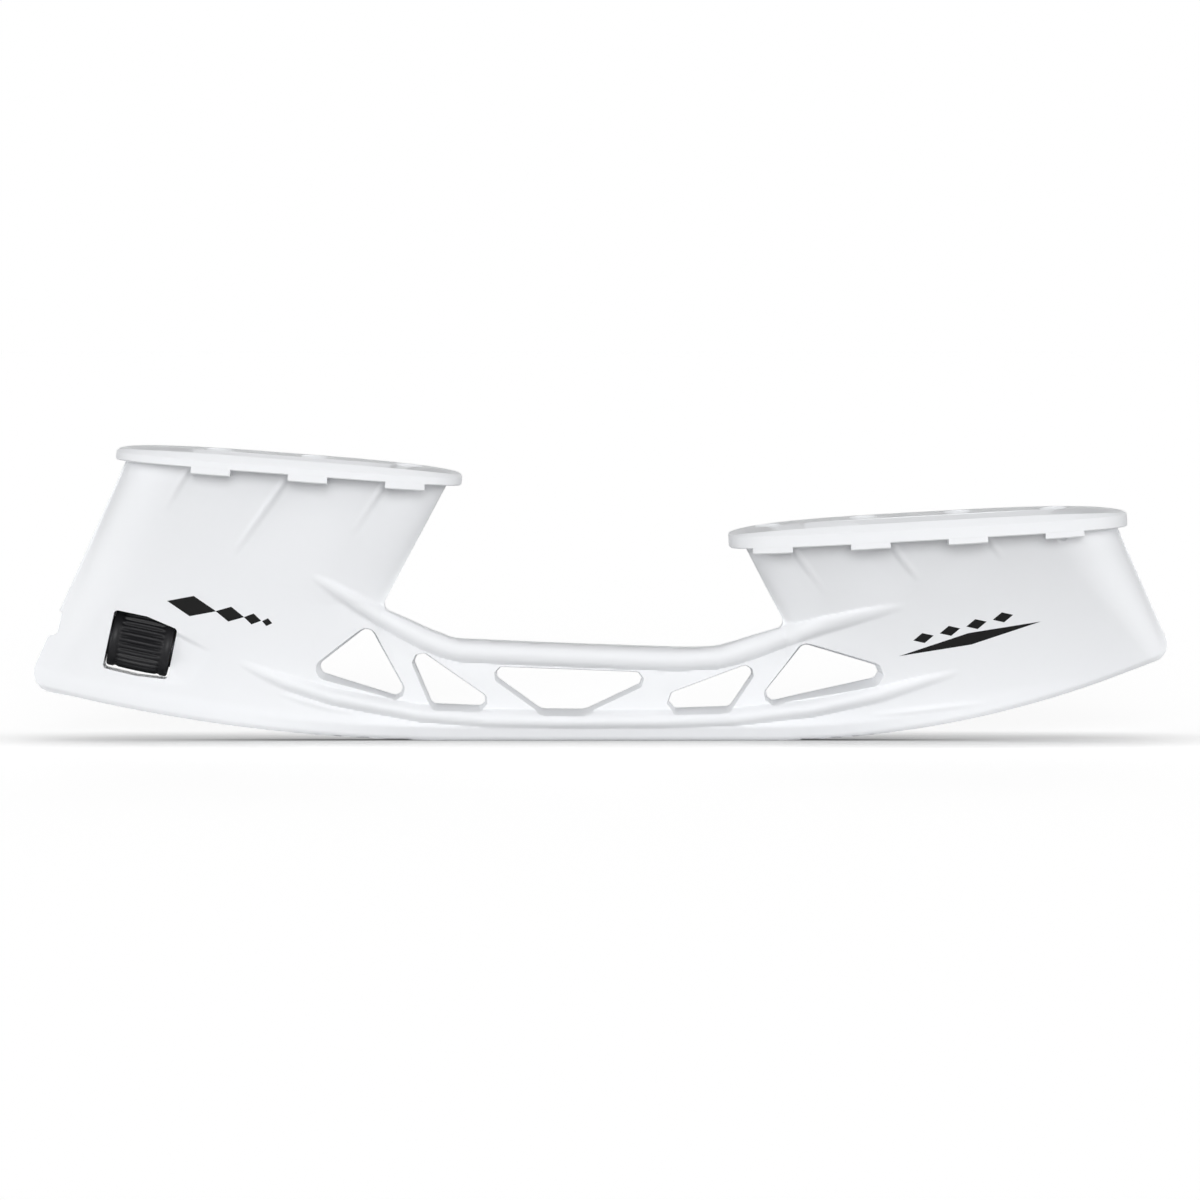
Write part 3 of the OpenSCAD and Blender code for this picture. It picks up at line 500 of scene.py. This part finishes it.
def skin(size):
    """Solid between the two side surfaces, still without its outline"""
    columns, rows = (int((high - low) / size["skin_grain"]) for low, high in (SKIN_X, SKIN_Z))
    deselect_all()
    bpy.ops.mesh.primitive_grid_add(x_subdivisions=columns - 1, y_subdivisions=rows - 1, size=1)
    piece = named("holder_moulding")
    xs, zs = np.meshgrid(np.linspace(*SKIN_X, columns), np.linspace(*SKIN_Z, rows))
    x, z = xs.ravel(), zs.ravel()
    place_vertices(piece, np.stack([x, -np.maximum(half_width(x, z, size), LEAST_HALF), z], 1))
    apply_modifier(piece, "MIRROR", use_axis=(False, True, False), use_mirror_merge=False)
    bpy.ops.object.mode_set(mode="EDIT")
    bpy.ops.mesh.select_mode(type="EDGE")
    bpy.ops.mesh.select_all(action="DESELECT")
    bpy.ops.mesh.select_non_manifold()
    bpy.ops.mesh.bridge_edge_loops()
    turn_outwards()
    return piece


def edge_point(post, z, outer):
    """Point of a post's inner or outer edge in the side view"""
    return post["side"] * post_edges(post, z)[1 if outer else 0], z


def side_outline():
    """Outline of the moulding below its flanges"""
    toe_low, heel_low = (edge_point(p, c[0], True) for p, c in ((TOE, TOE_CORNER), (HEEL, HEEL_CORNER)))
    toe_foot, heel_foot = (edge_point(p, c[0], False) for p, c in ((TOE, TOE_FOOT), (HEEL, HEEL_FOOT)))
    toe_out, toe_in = (edge_point(TOE, TOE["top"], outer) for outer in (True, False))
    heel_out, heel_in = (edge_point(HEEL, HEEL["top"], outer) for outer in (True, False))
    x = np.linspace(heel_low[0] + 12, toe_low[0] - 12, 60)
    bottom = list(zip(x, bottom_line(x)))
    tops = []
    for post in (TOE, HEEL):
        half = post["length"] / 2
        ends = [post["mid"] + s * (half - post["over_" + k]) for s, k in ((1, "out"), (-1, "in"))]
        tops.append([(post["side"] * u, flange_top(post, u) - post["thick"] + 1) for u in ends])
    return (bottom + corner(bottom[-1], toe_low, toe_out, TOE_CORNER[1]) + tops[0]
            + corner(toe_in, toe_foot, BAR_EDGE[0], TOE_FOOT[1]) + BAR_EDGE
            + corner(BAR_EDGE[-1], heel_foot, heel_in, HEEL_FOOT[1]) + tops[1][::-1]
            + corner(heel_out, heel_low, bottom[0], HEEL_CORNER[1]))


def truss_window(corners, size):
    """A window through the web, its walls drafted from a narrow land, most at the lower edges"""
    cutter = plate("window", rounded(corners), -40, 40)
    land, reach = size["window_land"], WINDOW_REACH
    inner, outer = rounded(corners), rounded(widened(corners, WINDOW_DRAFT * (reach - land)))
    outer = [(x, z - WINDOW_DROP * (reach - land)) for x, z in outer]
    for side in (-1, 1):
        deselect_all()
        bpy.ops.mesh.primitive_cylinder_add(vertices=len(inner))
        bevel = named("draft")
        rings = [[(x, side * land, z), (u, side * reach, w)] for (x, z), (u, w) in zip(inner, outer)]
        place_vertices(bevel, [point for pair in rings for point in pair])
        bpy.ops.object.mode_set(mode="EDIT")
        turn_outwards()
        join_solid(cutter, bevel, "UNION")
    return cutter


def post_matrix(post):
    """Places a flange's own frame, with x outwards, at the middle of its top"""
    tilt = math.radians(-post["side"] * post["rise"])
    middle = Vector((post["side"] * post["mid"], 0, post["top"])) * MM
    return Matrix.Translation(middle) @ Matrix.Rotation(tilt, 4, "Y")


def rivet_places(post):
    """Places of a post's rivet pairs along the holder"""
    return [post["row"] + (i - (post["pairs"] - 1) / 2) * RIVET_PITCH for i in range(post["pairs"])]


def flange_half(post, u):
    share = 1 - (abs(u - post["mid"]) / (post["length"] / 2)) ** FLANGE_POWER
    return post["width"] / 2 * share ** (1 / FLANGE_POWER)


def flange(post, size):
    """A flange with a bevelled rim, a dished top and pads under its rivet holes"""
    length, width, thick, drop = post["length"] / 2, post["width"] / 2, post["thick"], post["pad"]
    inset, bevel = size["rim_bevel_in"], size["rim_bevel"]
    steps = [
        (0.25, -thick), (0.0, -thick + 0.25), (0.0, -bevel - 0.15), (0.12, -bevel),
        (inset, -0.15), (inset + 0.25, 0.0)]
    oval = unit_oval(FLANGE_POWER, 180)
    piece = ring_loft("flange", oval, [(0, z, length - i, width - i) for i, z in steps])
    steps = [(0.4, -thick - drop), (0.06, -thick - drop + 0.3), (0.02, -thick + 1)]
    pads = ring_loft("pads", oval, [(0, z, length - i, width - i) for i, z in steps])
    blocks = None
    for u in rivet_places(post):
        x = post["side"] * (u - post["mid"])
        block = plate("block", rectangle(x, PAD_LENGTH / 2, -9, 1), -width - 5, width + 5)
        blocks = block if blocks is None else join_solid(blocks, block, "UNION")
    join_solid(pads, blocks, "INTERSECT")
    join_solid(piece, pads, "UNION")
    radius = size["dish_radius"]
    lift = math.sqrt(radius ** 2 - width ** 2)
    bpy.ops.mesh.primitive_cylinder_add(
        vertices=720, radius=radius * MM, depth=3 * post["length"] * MM,
        location=(0, 0, lift * MM), rotation=(0, math.pi / 2, 0))
    dish = named("dish")
    only(dish)
    bpy.ops.object.transform_apply(location=True, rotation=True, scale=True)
    join_solid(piece, dish, "DIFFERENCE")
    set_transform(piece, post_matrix(post))
    return piece


def hollow(post, size):
    """The open hollow of a post, with a cross rib left standing in it"""
    wall, rings = size["post_wall"], []
    for z in np.linspace(post["floor"], post["top"] + 9, 12):
        inner, outer = post_edges(post, z)
        inner, outer = inner + wall * 1.15, outer - wall * 1.1
        middle = (inner + outer) / 2
        half = float(flare(post, middle, np.array(z))) - wall
        rings.append((post["side"] * middle, z, (outer - inner) / 2, half))
    piece = ring_loft("hollow", unit_oval(HOLLOW_POWER, HOLLOW_POINTS), rings)
    outline = rectangle(post["side"] * post["mid"], CROSS_RIB_HALF, 0, post["top"] - CROSS_RIB_DROP)
    return join_solid(piece, plate("rib", outline, -THROUGH, THROUGH), "DIFFERENCE")


def mouth(post, size):
    """Wide bevel round the upper end of a post's hollow"""
    inner, outer = post_edges(post, post["top"] - post["thick"])
    length = (outer - inner) / 2 - size["post_wall"]
    width = post["width"] / 2 - post["over_side"] - size["post_wall"]
    sag = (post["width"] ** 2 / 4 - width ** 2) / (2 * size["dish_radius"])
    reach = post["width"] / 2 - RIVET_INSET - MOUTH_GAP - width
    steps = [(-sag - 2.2, -0.3), (-sag + 0.1, reach), (1.0, reach)]
    x = post["side"] * ((inner + outer) / 2 - post["mid"])
    rings = [(x, z, length + grow, width + grow) for z, grow in steps]
    piece = ring_loft("mouth", unit_oval(HOLLOW_POWER, HOLLOW_POINTS), rings)
    set_transform(piece, post_matrix(post))
    return piece


def rivet_holes(post, size):
    """Countersunk holes through a flange and its pads"""
    cutter = None
    for u in rivet_places(post):
        y = flange_half(post, u) - RIVET_INSET
        radius = size["dish_radius"]
        rise = math.sqrt(radius ** 2 - y ** 2) - math.sqrt(radius ** 2 - (post["width"] / 2) ** 2)
        top = flange_top(post, u) - rise
        for side in (-1, 1):
            at = Vector((post["side"] * u, side * y, 0)) * MM
            steps = [
                (top - 12, RIVET_RADIUS), (top - 1.0, RIVET_RADIUS),
                (top + 0.2, SINK_RADIUS), (top + 3, SINK_RADIUS)]
            hole = ring_loft("hole", unit_oval(2, 48), [(0, z, r, r) for z, r in steps])
            set_transform(hole, Matrix.Translation(at))
            cutter = hole if cutter is None else join_solid(cutter, hole, "UNION")
    return cutter


def wheel_cuts(size):
    """Window of the wheel, the round room and the bores behind it, and the hook's pocket"""
    cutter = plate("window", rounded([(x, z, 1.0) for x, z in axis_points(WHEEL_WINDOW)]), -THROUGH, THROUGH)
    room, end = size["wheel_radius"] + WHEEL_PLAY, size["wheel_length"] / 2 + WHEEL_PLAY
    for start, stop, radius in [(-end, end, room)] + LOCK_BORES:
        join_solid(cutter, axis_cylinder(start, stop, radius), "UNION")
    return join_solid(cutter, plate("pocket", axis_points(HOOK_POCKET), -POCKET_HALF, POCKET_HALF), "UNION")


def runner_slot():
    """Slot for the runner along the bottom, deeper at the toe"""
    x = np.linspace(*SLOT_ENDS, 50)
    low = [(a, b - 2) for a, b in zip(x, bottom_line(x))]
    high = [(a, b + SLOT_DEPTH) for a, b in zip(x, bottom_line(x))]
    cutter = plate("slot", low + high[::-1], -SLOT_HALF, SLOT_HALF)
    base = float(bottom_line(np.array(SLOT_TOE)))
    toe = [(a, base + b) for a, b in SLOT_TAB]
    return join_solid(cutter, plate("tab", toe, -SLOT_HALF, SLOT_HALF), "UNION")


# Materials

FLOAT, COLOUR = "NodeSocketFloat", "NodeSocketColor"
SURFACE = [("Colour", COLOUR), ("Roughness", FLOAT), ("Height", FLOAT)]


def new_material(name):
    material = bpy.data.materials.new(name)
    material.use_nodes = True
    nodes = material.node_tree.nodes
    nodes.clear()
    output = nodes.new("ShaderNodeOutputMaterial")
    shader = nodes.new("ShaderNodeBsdfPrincipled")
    material.node_tree.links.new(shader.outputs["BSDF"], output.inputs["Surface"])
    return material, shader


def new_group(name, inputs, outputs):
    """An empty node group with named sockets"""
    group = bpy.data.node_groups.new(name, "ShaderNodeTree")
    for label, kind, default in inputs:
        socket = group.interface.new_socket(label, in_out="INPUT", socket_type=kind)
        socket.default_value = default
    for label, kind in outputs:
        group.interface.new_socket(label, in_out="OUTPUT", socket_type=kind)
    return group, group.nodes.new("NodeGroupInput"), group.nodes.new("NodeGroupOutput")


def math_node(tree, operation, a, b=None):
    node = tree.nodes.new("ShaderNodeMath")
    node.operation = operation
    for socket, value in zip(node.inputs, (a, b)):
        if value is None:
            continue
        if isinstance(value, (int, float)):
            socket.default_value = value
        else:
            tree.links.new(value, socket)
    return node.outputs[0]


def add_bump(tree, surface, shader, strength, distance):
    """Lets a surface group's height tilt a shader's normal"""
    relief = tree.nodes.new("ShaderNodeBump")
    relief.inputs["Strength"].default_value = strength
    relief.inputs["Distance"].default_value = distance
    tree.links.new(surface.outputs["Height"], relief.inputs["Height"])
    tree.links.new(relief.outputs["Normal"], shader.inputs["Normal"])


def seen_directly(tree):
    """1 for camera, glossy and transmission rays, 0 for the rest"""
    path = tree.nodes.new("ShaderNodeLightPath")
    seen = math_node(tree, "MAXIMUM", path.outputs["Is Camera Ray"], path.outputs["Is Glossy Ray"])
    return math_node(tree, "MAXIMUM", seen, path.outputs["Is Transmission Ray"])


def noise_node(tree, place, scale, detail=2):
    node = tree.nodes.new("ShaderNodeTexNoise")
    node.inputs["Detail"].default_value = detail
    tree.links.new(place, node.inputs["Vector"])
    if isinstance(scale, (int, float)):
        node.inputs["Scale"].default_value = scale
    else:
        tree.links.new(scale, node.inputs["Scale"])
    return node.outputs["Fac"]


def group_node(tree, group, values):
    """A node of a shared group, with its inputs set in their order"""
    node = tree.nodes.new("ShaderNodeGroup")
    node.node_tree = group
    for socket, value in zip(node.inputs, values):
        socket.default_value = value
    return node


def moulded_group():
    """Moulded plastic: a slow drift of colour, fine grain and faint flow lines"""
    found = bpy.data.node_groups.get("moulded_surface")
    if found:
        return found
    group, start, end = new_group("moulded_surface", [
        ("Colour", COLOUR, (0.8, 0.8, 0.8, 1)), ("Shade", COLOUR, (0.7, 0.7, 0.7, 1)),
        ("Gloss", FLOAT, 0.4), ("Grain", FLOAT, 3000.0), ("Grain depth", FLOAT, 0.2)], SURFACE)
    links = group.links
    place = group.nodes.new("ShaderNodeTexCoord").outputs["Object"]
    stretch = group.nodes.new("ShaderNodeMapping")
    stretch.inputs["Scale"].default_value = (30, 260, 260)
    links.new(place, stretch.inputs["Vector"])
    drift = noise_node(group, place, 26, detail=3)
    flow = noise_node(group, stretch.outputs["Vector"], 1)
    grain = noise_node(group, place, start.outputs["Grain"])
    tone = group.nodes.new("ShaderNodeMix")
    tone.data_type = "RGBA"
    links.new(math_node(group, "MULTIPLY", drift, 0.9), tone.inputs["Factor"])
    links.new(start.outputs["Colour"], tone.inputs["A"])
    links.new(start.outputs["Shade"], tone.inputs["B"])
    links.new(tone.outputs["Result"], end.inputs["Colour"])
    rough = math_node(group, "ADD", math_node(group, "MULTIPLY", flow, 0.10), -0.05)
    rough = math_node(group, "ADD", rough, math_node(group, "MULTIPLY", grain, 0.08))
    links.new(math_node(group, "ADD", rough, start.outputs["Gloss"]), end.inputs["Roughness"])
    height = math_node(group, "MULTIPLY", grain, start.outputs["Grain depth"])
    height = math_node(group, "ADD", height, math_node(group, "MULTIPLY", flow, 0.05))
    links.new(height, end.inputs["Height"])
    return group


def metal_group():
    """Worked metal: fine tool marks along X and cloudy handling marks"""
    found = bpy.data.node_groups.get("worked_metal")
    if found:
        return found
    group, start, end = new_group("worked_metal", [
        ("Colour", COLOUR, (0.6, 0.6, 0.6, 1)), ("Gloss", FLOAT, 0.3), ("Marks", FLOAT, 900.0)], SURFACE)
    links = group.links
    place = group.nodes.new("ShaderNodeTexCoord").outputs["Object"]
    turn = group.nodes.new("ShaderNodeMapping")
    turn.inputs["Rotation"].default_value = (0, AXIS_TILT, 0)
    turn.inputs["Scale"].default_value = (5, 1, 1)
    links.new(place, turn.inputs["Vector"])
    marks = noise_node(group, turn.outputs["Vector"], start.outputs["Marks"], detail=4)
    cloud = noise_node(group, place, 160)
    dark = group.nodes.new("ShaderNodeMix")
    dark.data_type = "RGBA"
    dark.blend_type = "MULTIPLY"
    dark.inputs["B"].default_value = (0.7, 0.7, 0.72, 1)
    links.new(math_node(group, "MULTIPLY", cloud, 0.5), dark.inputs["Factor"])
    links.new(start.outputs["Colour"], dark.inputs["A"])
    links.new(dark.outputs["Result"], end.inputs["Colour"])
    rough = math_node(group, "MULTIPLY", math_node(group, "ADD", marks, cloud), 0.15)
    links.new(math_node(group, "ADD", rough, start.outputs["Gloss"]), end.inputs["Roughness"])
    links.new(marks, end.inputs["Height"])
    return group


def lozenge_group():
    """A printed lozenge on a side face, given by its middle, half sizes and slant"""
    found = bpy.data.node_groups.get("printed_lozenge")
    if found:
        return found
    group, start, end = new_group("printed_lozenge", [
        ("Middle X", FLOAT, 0.0), ("Middle Z", FLOAT, 0.0),
        ("Half length", FLOAT, 0.01), ("Half height", FLOAT, 0.002),
        ("Slant cos", FLOAT, 1.0), ("Slant sin", FLOAT, 0.0)],
        [("Mask", FLOAT)])
    place = group.nodes.new("ShaderNodeSeparateXYZ")
    group.links.new(group.nodes.new("ShaderNodeTexCoord").outputs["Object"], place.inputs[0])
    dx = math_node(group, "SUBTRACT", place.outputs["X"], start.outputs["Middle X"])
    dz = math_node(group, "SUBTRACT", place.outputs["Z"], start.outputs["Middle Z"])
    c, s = start.outputs["Slant cos"], start.outputs["Slant sin"]
    along = math_node(group, "ADD", math_node(group, "MULTIPLY", dx, c), math_node(group, "MULTIPLY", dz, s))
    across = math_node(
        group, "SUBTRACT", math_node(group, "MULTIPLY", dz, c), math_node(group, "MULTIPLY", dx, s))
    a = math_node(group, "DIVIDE", math_node(group, "ABSOLUTE", along), start.outputs["Half length"])
    b = math_node(group, "DIVIDE", math_node(group, "ABSOLUTE", across), start.outputs["Half height"])
    inside = math_node(group, "LESS_THAN", math_node(group, "ADD", a, b), 1.0)
    normal = group.nodes.new("ShaderNodeSeparateXYZ")
    group.links.new(group.nodes.new("ShaderNodeTexCoord").outputs["Normal"], normal.inputs[0])
    facing = math_node(group, "MULTIPLY", normal.outputs["Y"], place.outputs["Y"])
    outer = math_node(group, "GREATER_THAN", facing, 0.002)
    group.links.new(math_node(group, "MULTIPLY", inside, outer), end.inputs["Mask"])
    return group


def moulded_material(name, colour, shade, gloss, grain, depth, bump, marks=()):
    material, shader = new_material(name)
    tree = material.node_tree
    surface = group_node(tree, moulded_group(), ((*colour, 1), (*shade, 1), gloss, grain, depth))
    result = surface.outputs["Colour"]
    if marks:
        mask = None
        for x, z, length, height, slant in marks:
            turn = math.radians(slant)
            values = (x * MM, z * MM, length * MM, height * MM, math.cos(turn), math.sin(turn))
            shape = group_node(tree, lozenge_group(), values).outputs["Mask"]
            mask = shape if mask is None else math_node(tree, "MAXIMUM", mask, shape)
        ink = tree.nodes.new("ShaderNodeMix")
        ink.data_type = "RGBA"
        ink.inputs["B"].default_value = (*colours().print_black, 1)
        tree.links.new(mask, ink.inputs["Factor"])
        tree.links.new(result, ink.inputs["A"])
        result = ink.outputs["Result"]
    tree.links.new(result, shader.inputs["Base Color"])
    tree.links.new(surface.outputs["Roughness"], shader.inputs["Roughness"])
    add_bump(tree, surface, shader, bump, 0.0001)
    return material, shader


def metal_material(name, colour, gloss, marks):
    material, shader = new_material(name)
    tree = material.node_tree
    surface = group_node(tree, metal_group(), ((*colour, 1), gloss, marks))
    shader.inputs["Metallic"].default_value = 1.0
    tree.links.new(surface.outputs["Colour"], shader.inputs["Base Color"])
    tree.links.new(surface.outputs["Roughness"], shader.inputs["Roughness"])
    add_bump(tree, surface, shader, 0.12, 0.00005)
    return material


def dress(piece, material):
    piece.data.materials.clear()
    piece.data.materials.append(material)


class HOLDER_OT_moulding(bpy.types.Operator):
    """Model the white moulding with its posts, flanges, truss and runner slot"""

    bl_idname = "holder.moulding"
    bl_label = "Moulding"

    def execute(self, context):
        size = sizes()
        body = skin(size)
        join_solid(body, plate("outline", side_outline(), -THROUGH, THROUGH), "INTERSECT")
        for outline in WINDOWS:
            join_solid(body, truss_window(outline, size), "DIFFERENCE")
        for post in (HEEL, TOE):
            join_solid(body, flange(post, size), "UNION")
        for post in (HEEL, TOE):
            join_solid(body, hollow(post, size), "DIFFERENCE")
            join_solid(body, mouth(post, size), "DIFFERENCE")
            join_solid(body, rivet_holes(post, size), "DIFFERENCE")
        join_solid(body, wheel_cuts(size), "DIFFERENCE")
        join_solid(body, runner_slot(), "DIFFERENCE")
        count = sum(len(p.vertices) - 2 for p in body.data.polygons)
        if count > MAX_TRIANGLES:
            apply_modifier(body, "DECIMATE", ratio=MAX_TRIANGLES / count)
        only(body)
        bpy.ops.object.shade_smooth_by_angle(angle=BODY_SMOOTH)
        apply_modifier(body, "WEIGHTED_NORMAL", keep_sharp=True, weight=80)
        colour = colours()
        material, shader = moulded_material(
            "holder_nylon", colour.plastic, colour.plastic_shade, 0.70, 2600, 0.35, 0.10, MARKS)
        shader.inputs["Specular IOR Level"].default_value = 0.2
        dress(body, material)
        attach(body, "holder")
        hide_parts("holder_body")
        return {"FINISHED"}


class HOLDER_OT_thumb_wheel(bpy.types.Operator):
    """Model the ribbed black thumb wheel with its smooth end bands"""

    bl_idname = "holder.thumb_wheel"
    bl_label = "Thumb wheel"

    def execute(self, context):
        size = sizes()
        radius, half, depth = size["wheel_radius"], size["wheel_length"] / 2, size["rib_depth"]
        band, grip = radius - 0.08, half - BAND_LENGTH
        steps = [
            (-half, band - 0.45), (-half + 0.15, band - 0.18), (-half + 0.5, band),
            (-grip - 0.5, band), (-grip - 0.15, band - 0.25), (-grip + 0.25, radius - 0.35),
            (-grip + 0.8, radius - 0.12), (-grip * 0.5, radius - 0.03), (0, radius)]
        steps += [(-z, r) for z, r in steps[-2::-1]]
        count = size["rib_count"] * 12
        piece = ring_loft("wheel_grip", unit_oval(2, count), [(0, z, r, r) for z, r in steps])
        points = np.zeros(len(piece.data.vertices) * 3, np.float32)
        piece.data.vertices.foreach_get("co", points)
        points = points.reshape(-1, 3) / MM
        angle = np.arctan2(points[:, 1], points[:, 0])
        groove = ((1 - np.cos(angle * size["rib_count"])) / 2) ** 1.6
        gripped = smooth_step(-0.1, 0.7, grip - np.abs(points[:, 2]))
        points[:, :2] *= (1 - depth / radius * groove * gripped)[:, None]
        place_vertices(piece, points)
        set_transform(piece, axis_matrix(0))
        join_solid(piece, axis_cylinder(-half - 2, half + 2, WHEEL_BORE), "DIFFERENCE")
        only(piece)
        bpy.ops.object.shade_smooth_by_angle(angle=WHEEL_SMOOTH)
        colour = colours().wheel_black
        material, shader = moulded_material(
            "wheel_plastic", colour, [c * 1.6 for c in colour], 0.42, 3800, 0.6, 0.2)
        shader.inputs["Specular IOR Level"].default_value = 0.2
        dress(piece, material)
        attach(piece, "wheel")
        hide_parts("thumb_wheel")
        return {"FINISHED"}


class HOLDER_OT_lock_parts(bpy.types.Operator):
    """Finish the nut, stem, hook, washers, bushes, clip, plug and seal of the lock"""

    bl_idname = "holder.lock_parts"
    bl_label = "Lock parts"

    def execute(self, context):
        colour = colours()
        steel = metal_material("turned_steel", colour.steel, 0.24, 1400)
        blued = metal_material("blued_steel", colour.spring_steel, 0.3, 1100)
        black = metal_material("blackened_steel", [c * 0.2 for c in colour.spring_steel], 0.42, 1100)
        brass = metal_material("turned_brass", colour.brass, 0.22, 1600)
        acetal, _ = moulded_material(
            "bush_acetal", colour.acetal, [c * 0.9 for c in colour.acetal], 0.4, 3000, 0.4, 0.1)
        white, _ = moulded_material("plug_nylon", colour.plastic, colour.plastic_shade, 0.42, 2600, 0.4, 0.12)
        rubber, _ = moulded_material(
            "seal_rubber", colour.rubber, [c * 1.5 for c in colour.rubber], 0.6, 4200, 0.6, 0.2)
        finishes = {
            "drive_nut": brass, "hook_stem": steel, "lock_hook": steel, "hook_pin": steel,
            "front_thrust_washer": black, "rear_thrust_washer": black, "disc_spring": blued,
            "stem_clip": blued, "front_bush": acetal, "rear_bush": acetal, "rear_plug": white,
            "plug_seal": rubber,
        }
        for node, material in finishes.items():
            dress(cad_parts[node], material)
        return {"FINISHED"}


class HOLDER_OT_stage(bpy.types.Operator):
    """Set up the pale floor, the soft studio light and the camera"""

    bl_idname = "holder.stage"
    bl_label = "Stage"

    def execute(self, context):
        scene = context.scene
        scene.view_settings.view_transform = "Standard"
        self.floor()
        self.world(scene)
        for name, settings in LAMPS.items():
            self.lamp(name, *settings)
        camera = bpy.data.cameras.new("camera")
        lens = bpy.data.objects.new("camera", camera)
        scene.collection.objects.link(lens)
        lens.location = (CAMERA_TARGET.x, -CAMERA_AWAY, CAMERA_HEIGHT)
        line = CAMERA_TARGET - lens.location
        lens.rotation_euler = line.to_track_quat("-Z", "Y").to_euler()
        camera.sensor_width = SENSOR_WIDTH
        camera.lens = SENSOR_WIDTH * line.length / FIELD_WIDTH
        camera.clip_start, camera.clip_end = 0.05, 50
        scene.camera = lens
        return {"FINISHED"}

    def floor(self):
        deselect_all()
        bpy.ops.mesh.primitive_plane_add(size=FLOOR_SIZE, location=(0, 0, 0))
        floor = named("floor")
        material, shader = new_material("studio_floor")
        tree = material.node_tree
        shader.inputs["Base Color"].default_value = (FLOOR_GREY, FLOOR_GREY, FLOOR_GREY, 1)
        shader.inputs["Roughness"].default_value = 0.9
        shader.inputs["Specular IOR Level"].default_value = 0.0
        glow = tree.nodes.new("ShaderNodeEmission")
        # Ambient occlusion dims the glow near the holder: a painted contact shadow
        open_sky = tree.nodes.new("ShaderNodeAmbientOcclusion")
        open_sky.inputs["Distance"].default_value = SHADOW_REACH
        clear = math_node(tree, "POWER", open_sky.outputs["AO"], SHADOW_POWER)
        strength = math_node(tree, "MULTIPLY", seen_directly(tree), FLOOR_GLOW)
        tree.links.new(math_node(tree, "MULTIPLY", strength, clear), glow.inputs["Strength"])
        both = tree.nodes.new("ShaderNodeAddShader")
        tree.links.new(shader.outputs["BSDF"], both.inputs[0])
        tree.links.new(glow.outputs["Emission"], both.inputs[1])
        side = tree.nodes.new("ShaderNodeMixShader")
        tree.links.new(tree.nodes.new("ShaderNodeNewGeometry").outputs["Backfacing"], side.inputs["Fac"])
        tree.links.new(both.outputs["Shader"], side.inputs[1])
        tree.links.new(tree.nodes.new("ShaderNodeBsdfTransparent").outputs["BSDF"], side.inputs[2])
        output = next(n for n in tree.nodes if n.type == "OUTPUT_MATERIAL")
        tree.links.new(side.outputs["Shader"], output.inputs["Surface"])
        dress(floor, material)

    def world(self, scene):
        world = bpy.data.worlds.new("studio")
        scene.world = world
        world.use_nodes = True
        tree = world.node_tree
        tree.nodes.clear()
        output = tree.nodes.new("ShaderNodeOutputWorld")
        sky = tree.nodes.new("ShaderNodeBackground")
        sky.inputs["Color"].default_value = (1, 1, 1, 1)
        strength = math_node(tree, "MULTIPLY", seen_directly(tree), 1 - SKY_LIGHT)
        tree.links.new(math_node(tree, "ADD", strength, SKY_LIGHT), sky.inputs["Strength"])
        tree.links.new(sky.outputs["Background"], output.inputs["Surface"])

    def lamp(self, name, turn, height, spread, strength):
        """A wide soft light from far away, turned from the front and raised by angles in degrees"""
        data = bpy.data.lights.new(name, "SUN")
        data.angle, data.energy = math.radians(spread), strength
        lamp = bpy.data.objects.new(name, data)
        turn, height = math.radians(turn), math.radians(height)
        place = Vector((
            math.sin(turn) * math.cos(height), -math.cos(turn) * math.cos(height), math.sin(height)))
        lamp.rotation_euler = place.to_track_quat("Z", "Y").to_euler()
        bpy.context.scene.collection.objects.link(lamp)


class HOLDER_PT_panel(bpy.types.Panel):
    """Lists the holder's pieces and settings"""

    bl_idname = "HOLDER_PT_panel"
    bl_label = "Skate blade holder"
    bl_space_type = "VIEW_3D"
    bl_region_type = "UI"
    bl_category = "Holder"

    def draw(self, context):
        for operator in ("holder.moulding", "holder.thumb_wheel", "holder.lock_parts", "holder.stage"):
            self.layout.operator(operator)
        scene = context.scene
        for group, kind in ((scene.holder_sizes, HolderSizes), (scene.holder_colours, HolderColours)):
            for key in kind.__annotations__:
                self.layout.prop(group, key)


CLASSES = (
    HolderSizes, HolderColours, HOLDER_OT_moulding, HOLDER_OT_thumb_wheel,
    HOLDER_OT_lock_parts, HOLDER_OT_stage, HOLDER_PT_panel)


def register():
    for cls in CLASSES:
        bpy.utils.register_class(cls)
    bpy.types.Scene.holder_sizes = bpy.props.PointerProperty(type=HolderSizes)
    bpy.types.Scene.holder_colours = bpy.props.PointerProperty(type=HolderColours)


def unregister():
    del bpy.types.Scene.holder_colours
    del bpy.types.Scene.holder_sizes
    for cls in reversed(CLASSES):
        bpy.utils.unregister_class(cls)


def main():
    register()
    bpy.ops.holder.moulding()
    bpy.ops.holder.thumb_wheel()
    bpy.ops.holder.lock_parts()
    bpy.ops.holder.stage()
    bpy.context.view_layer.update()


if __name__ == "__main__":
    main()
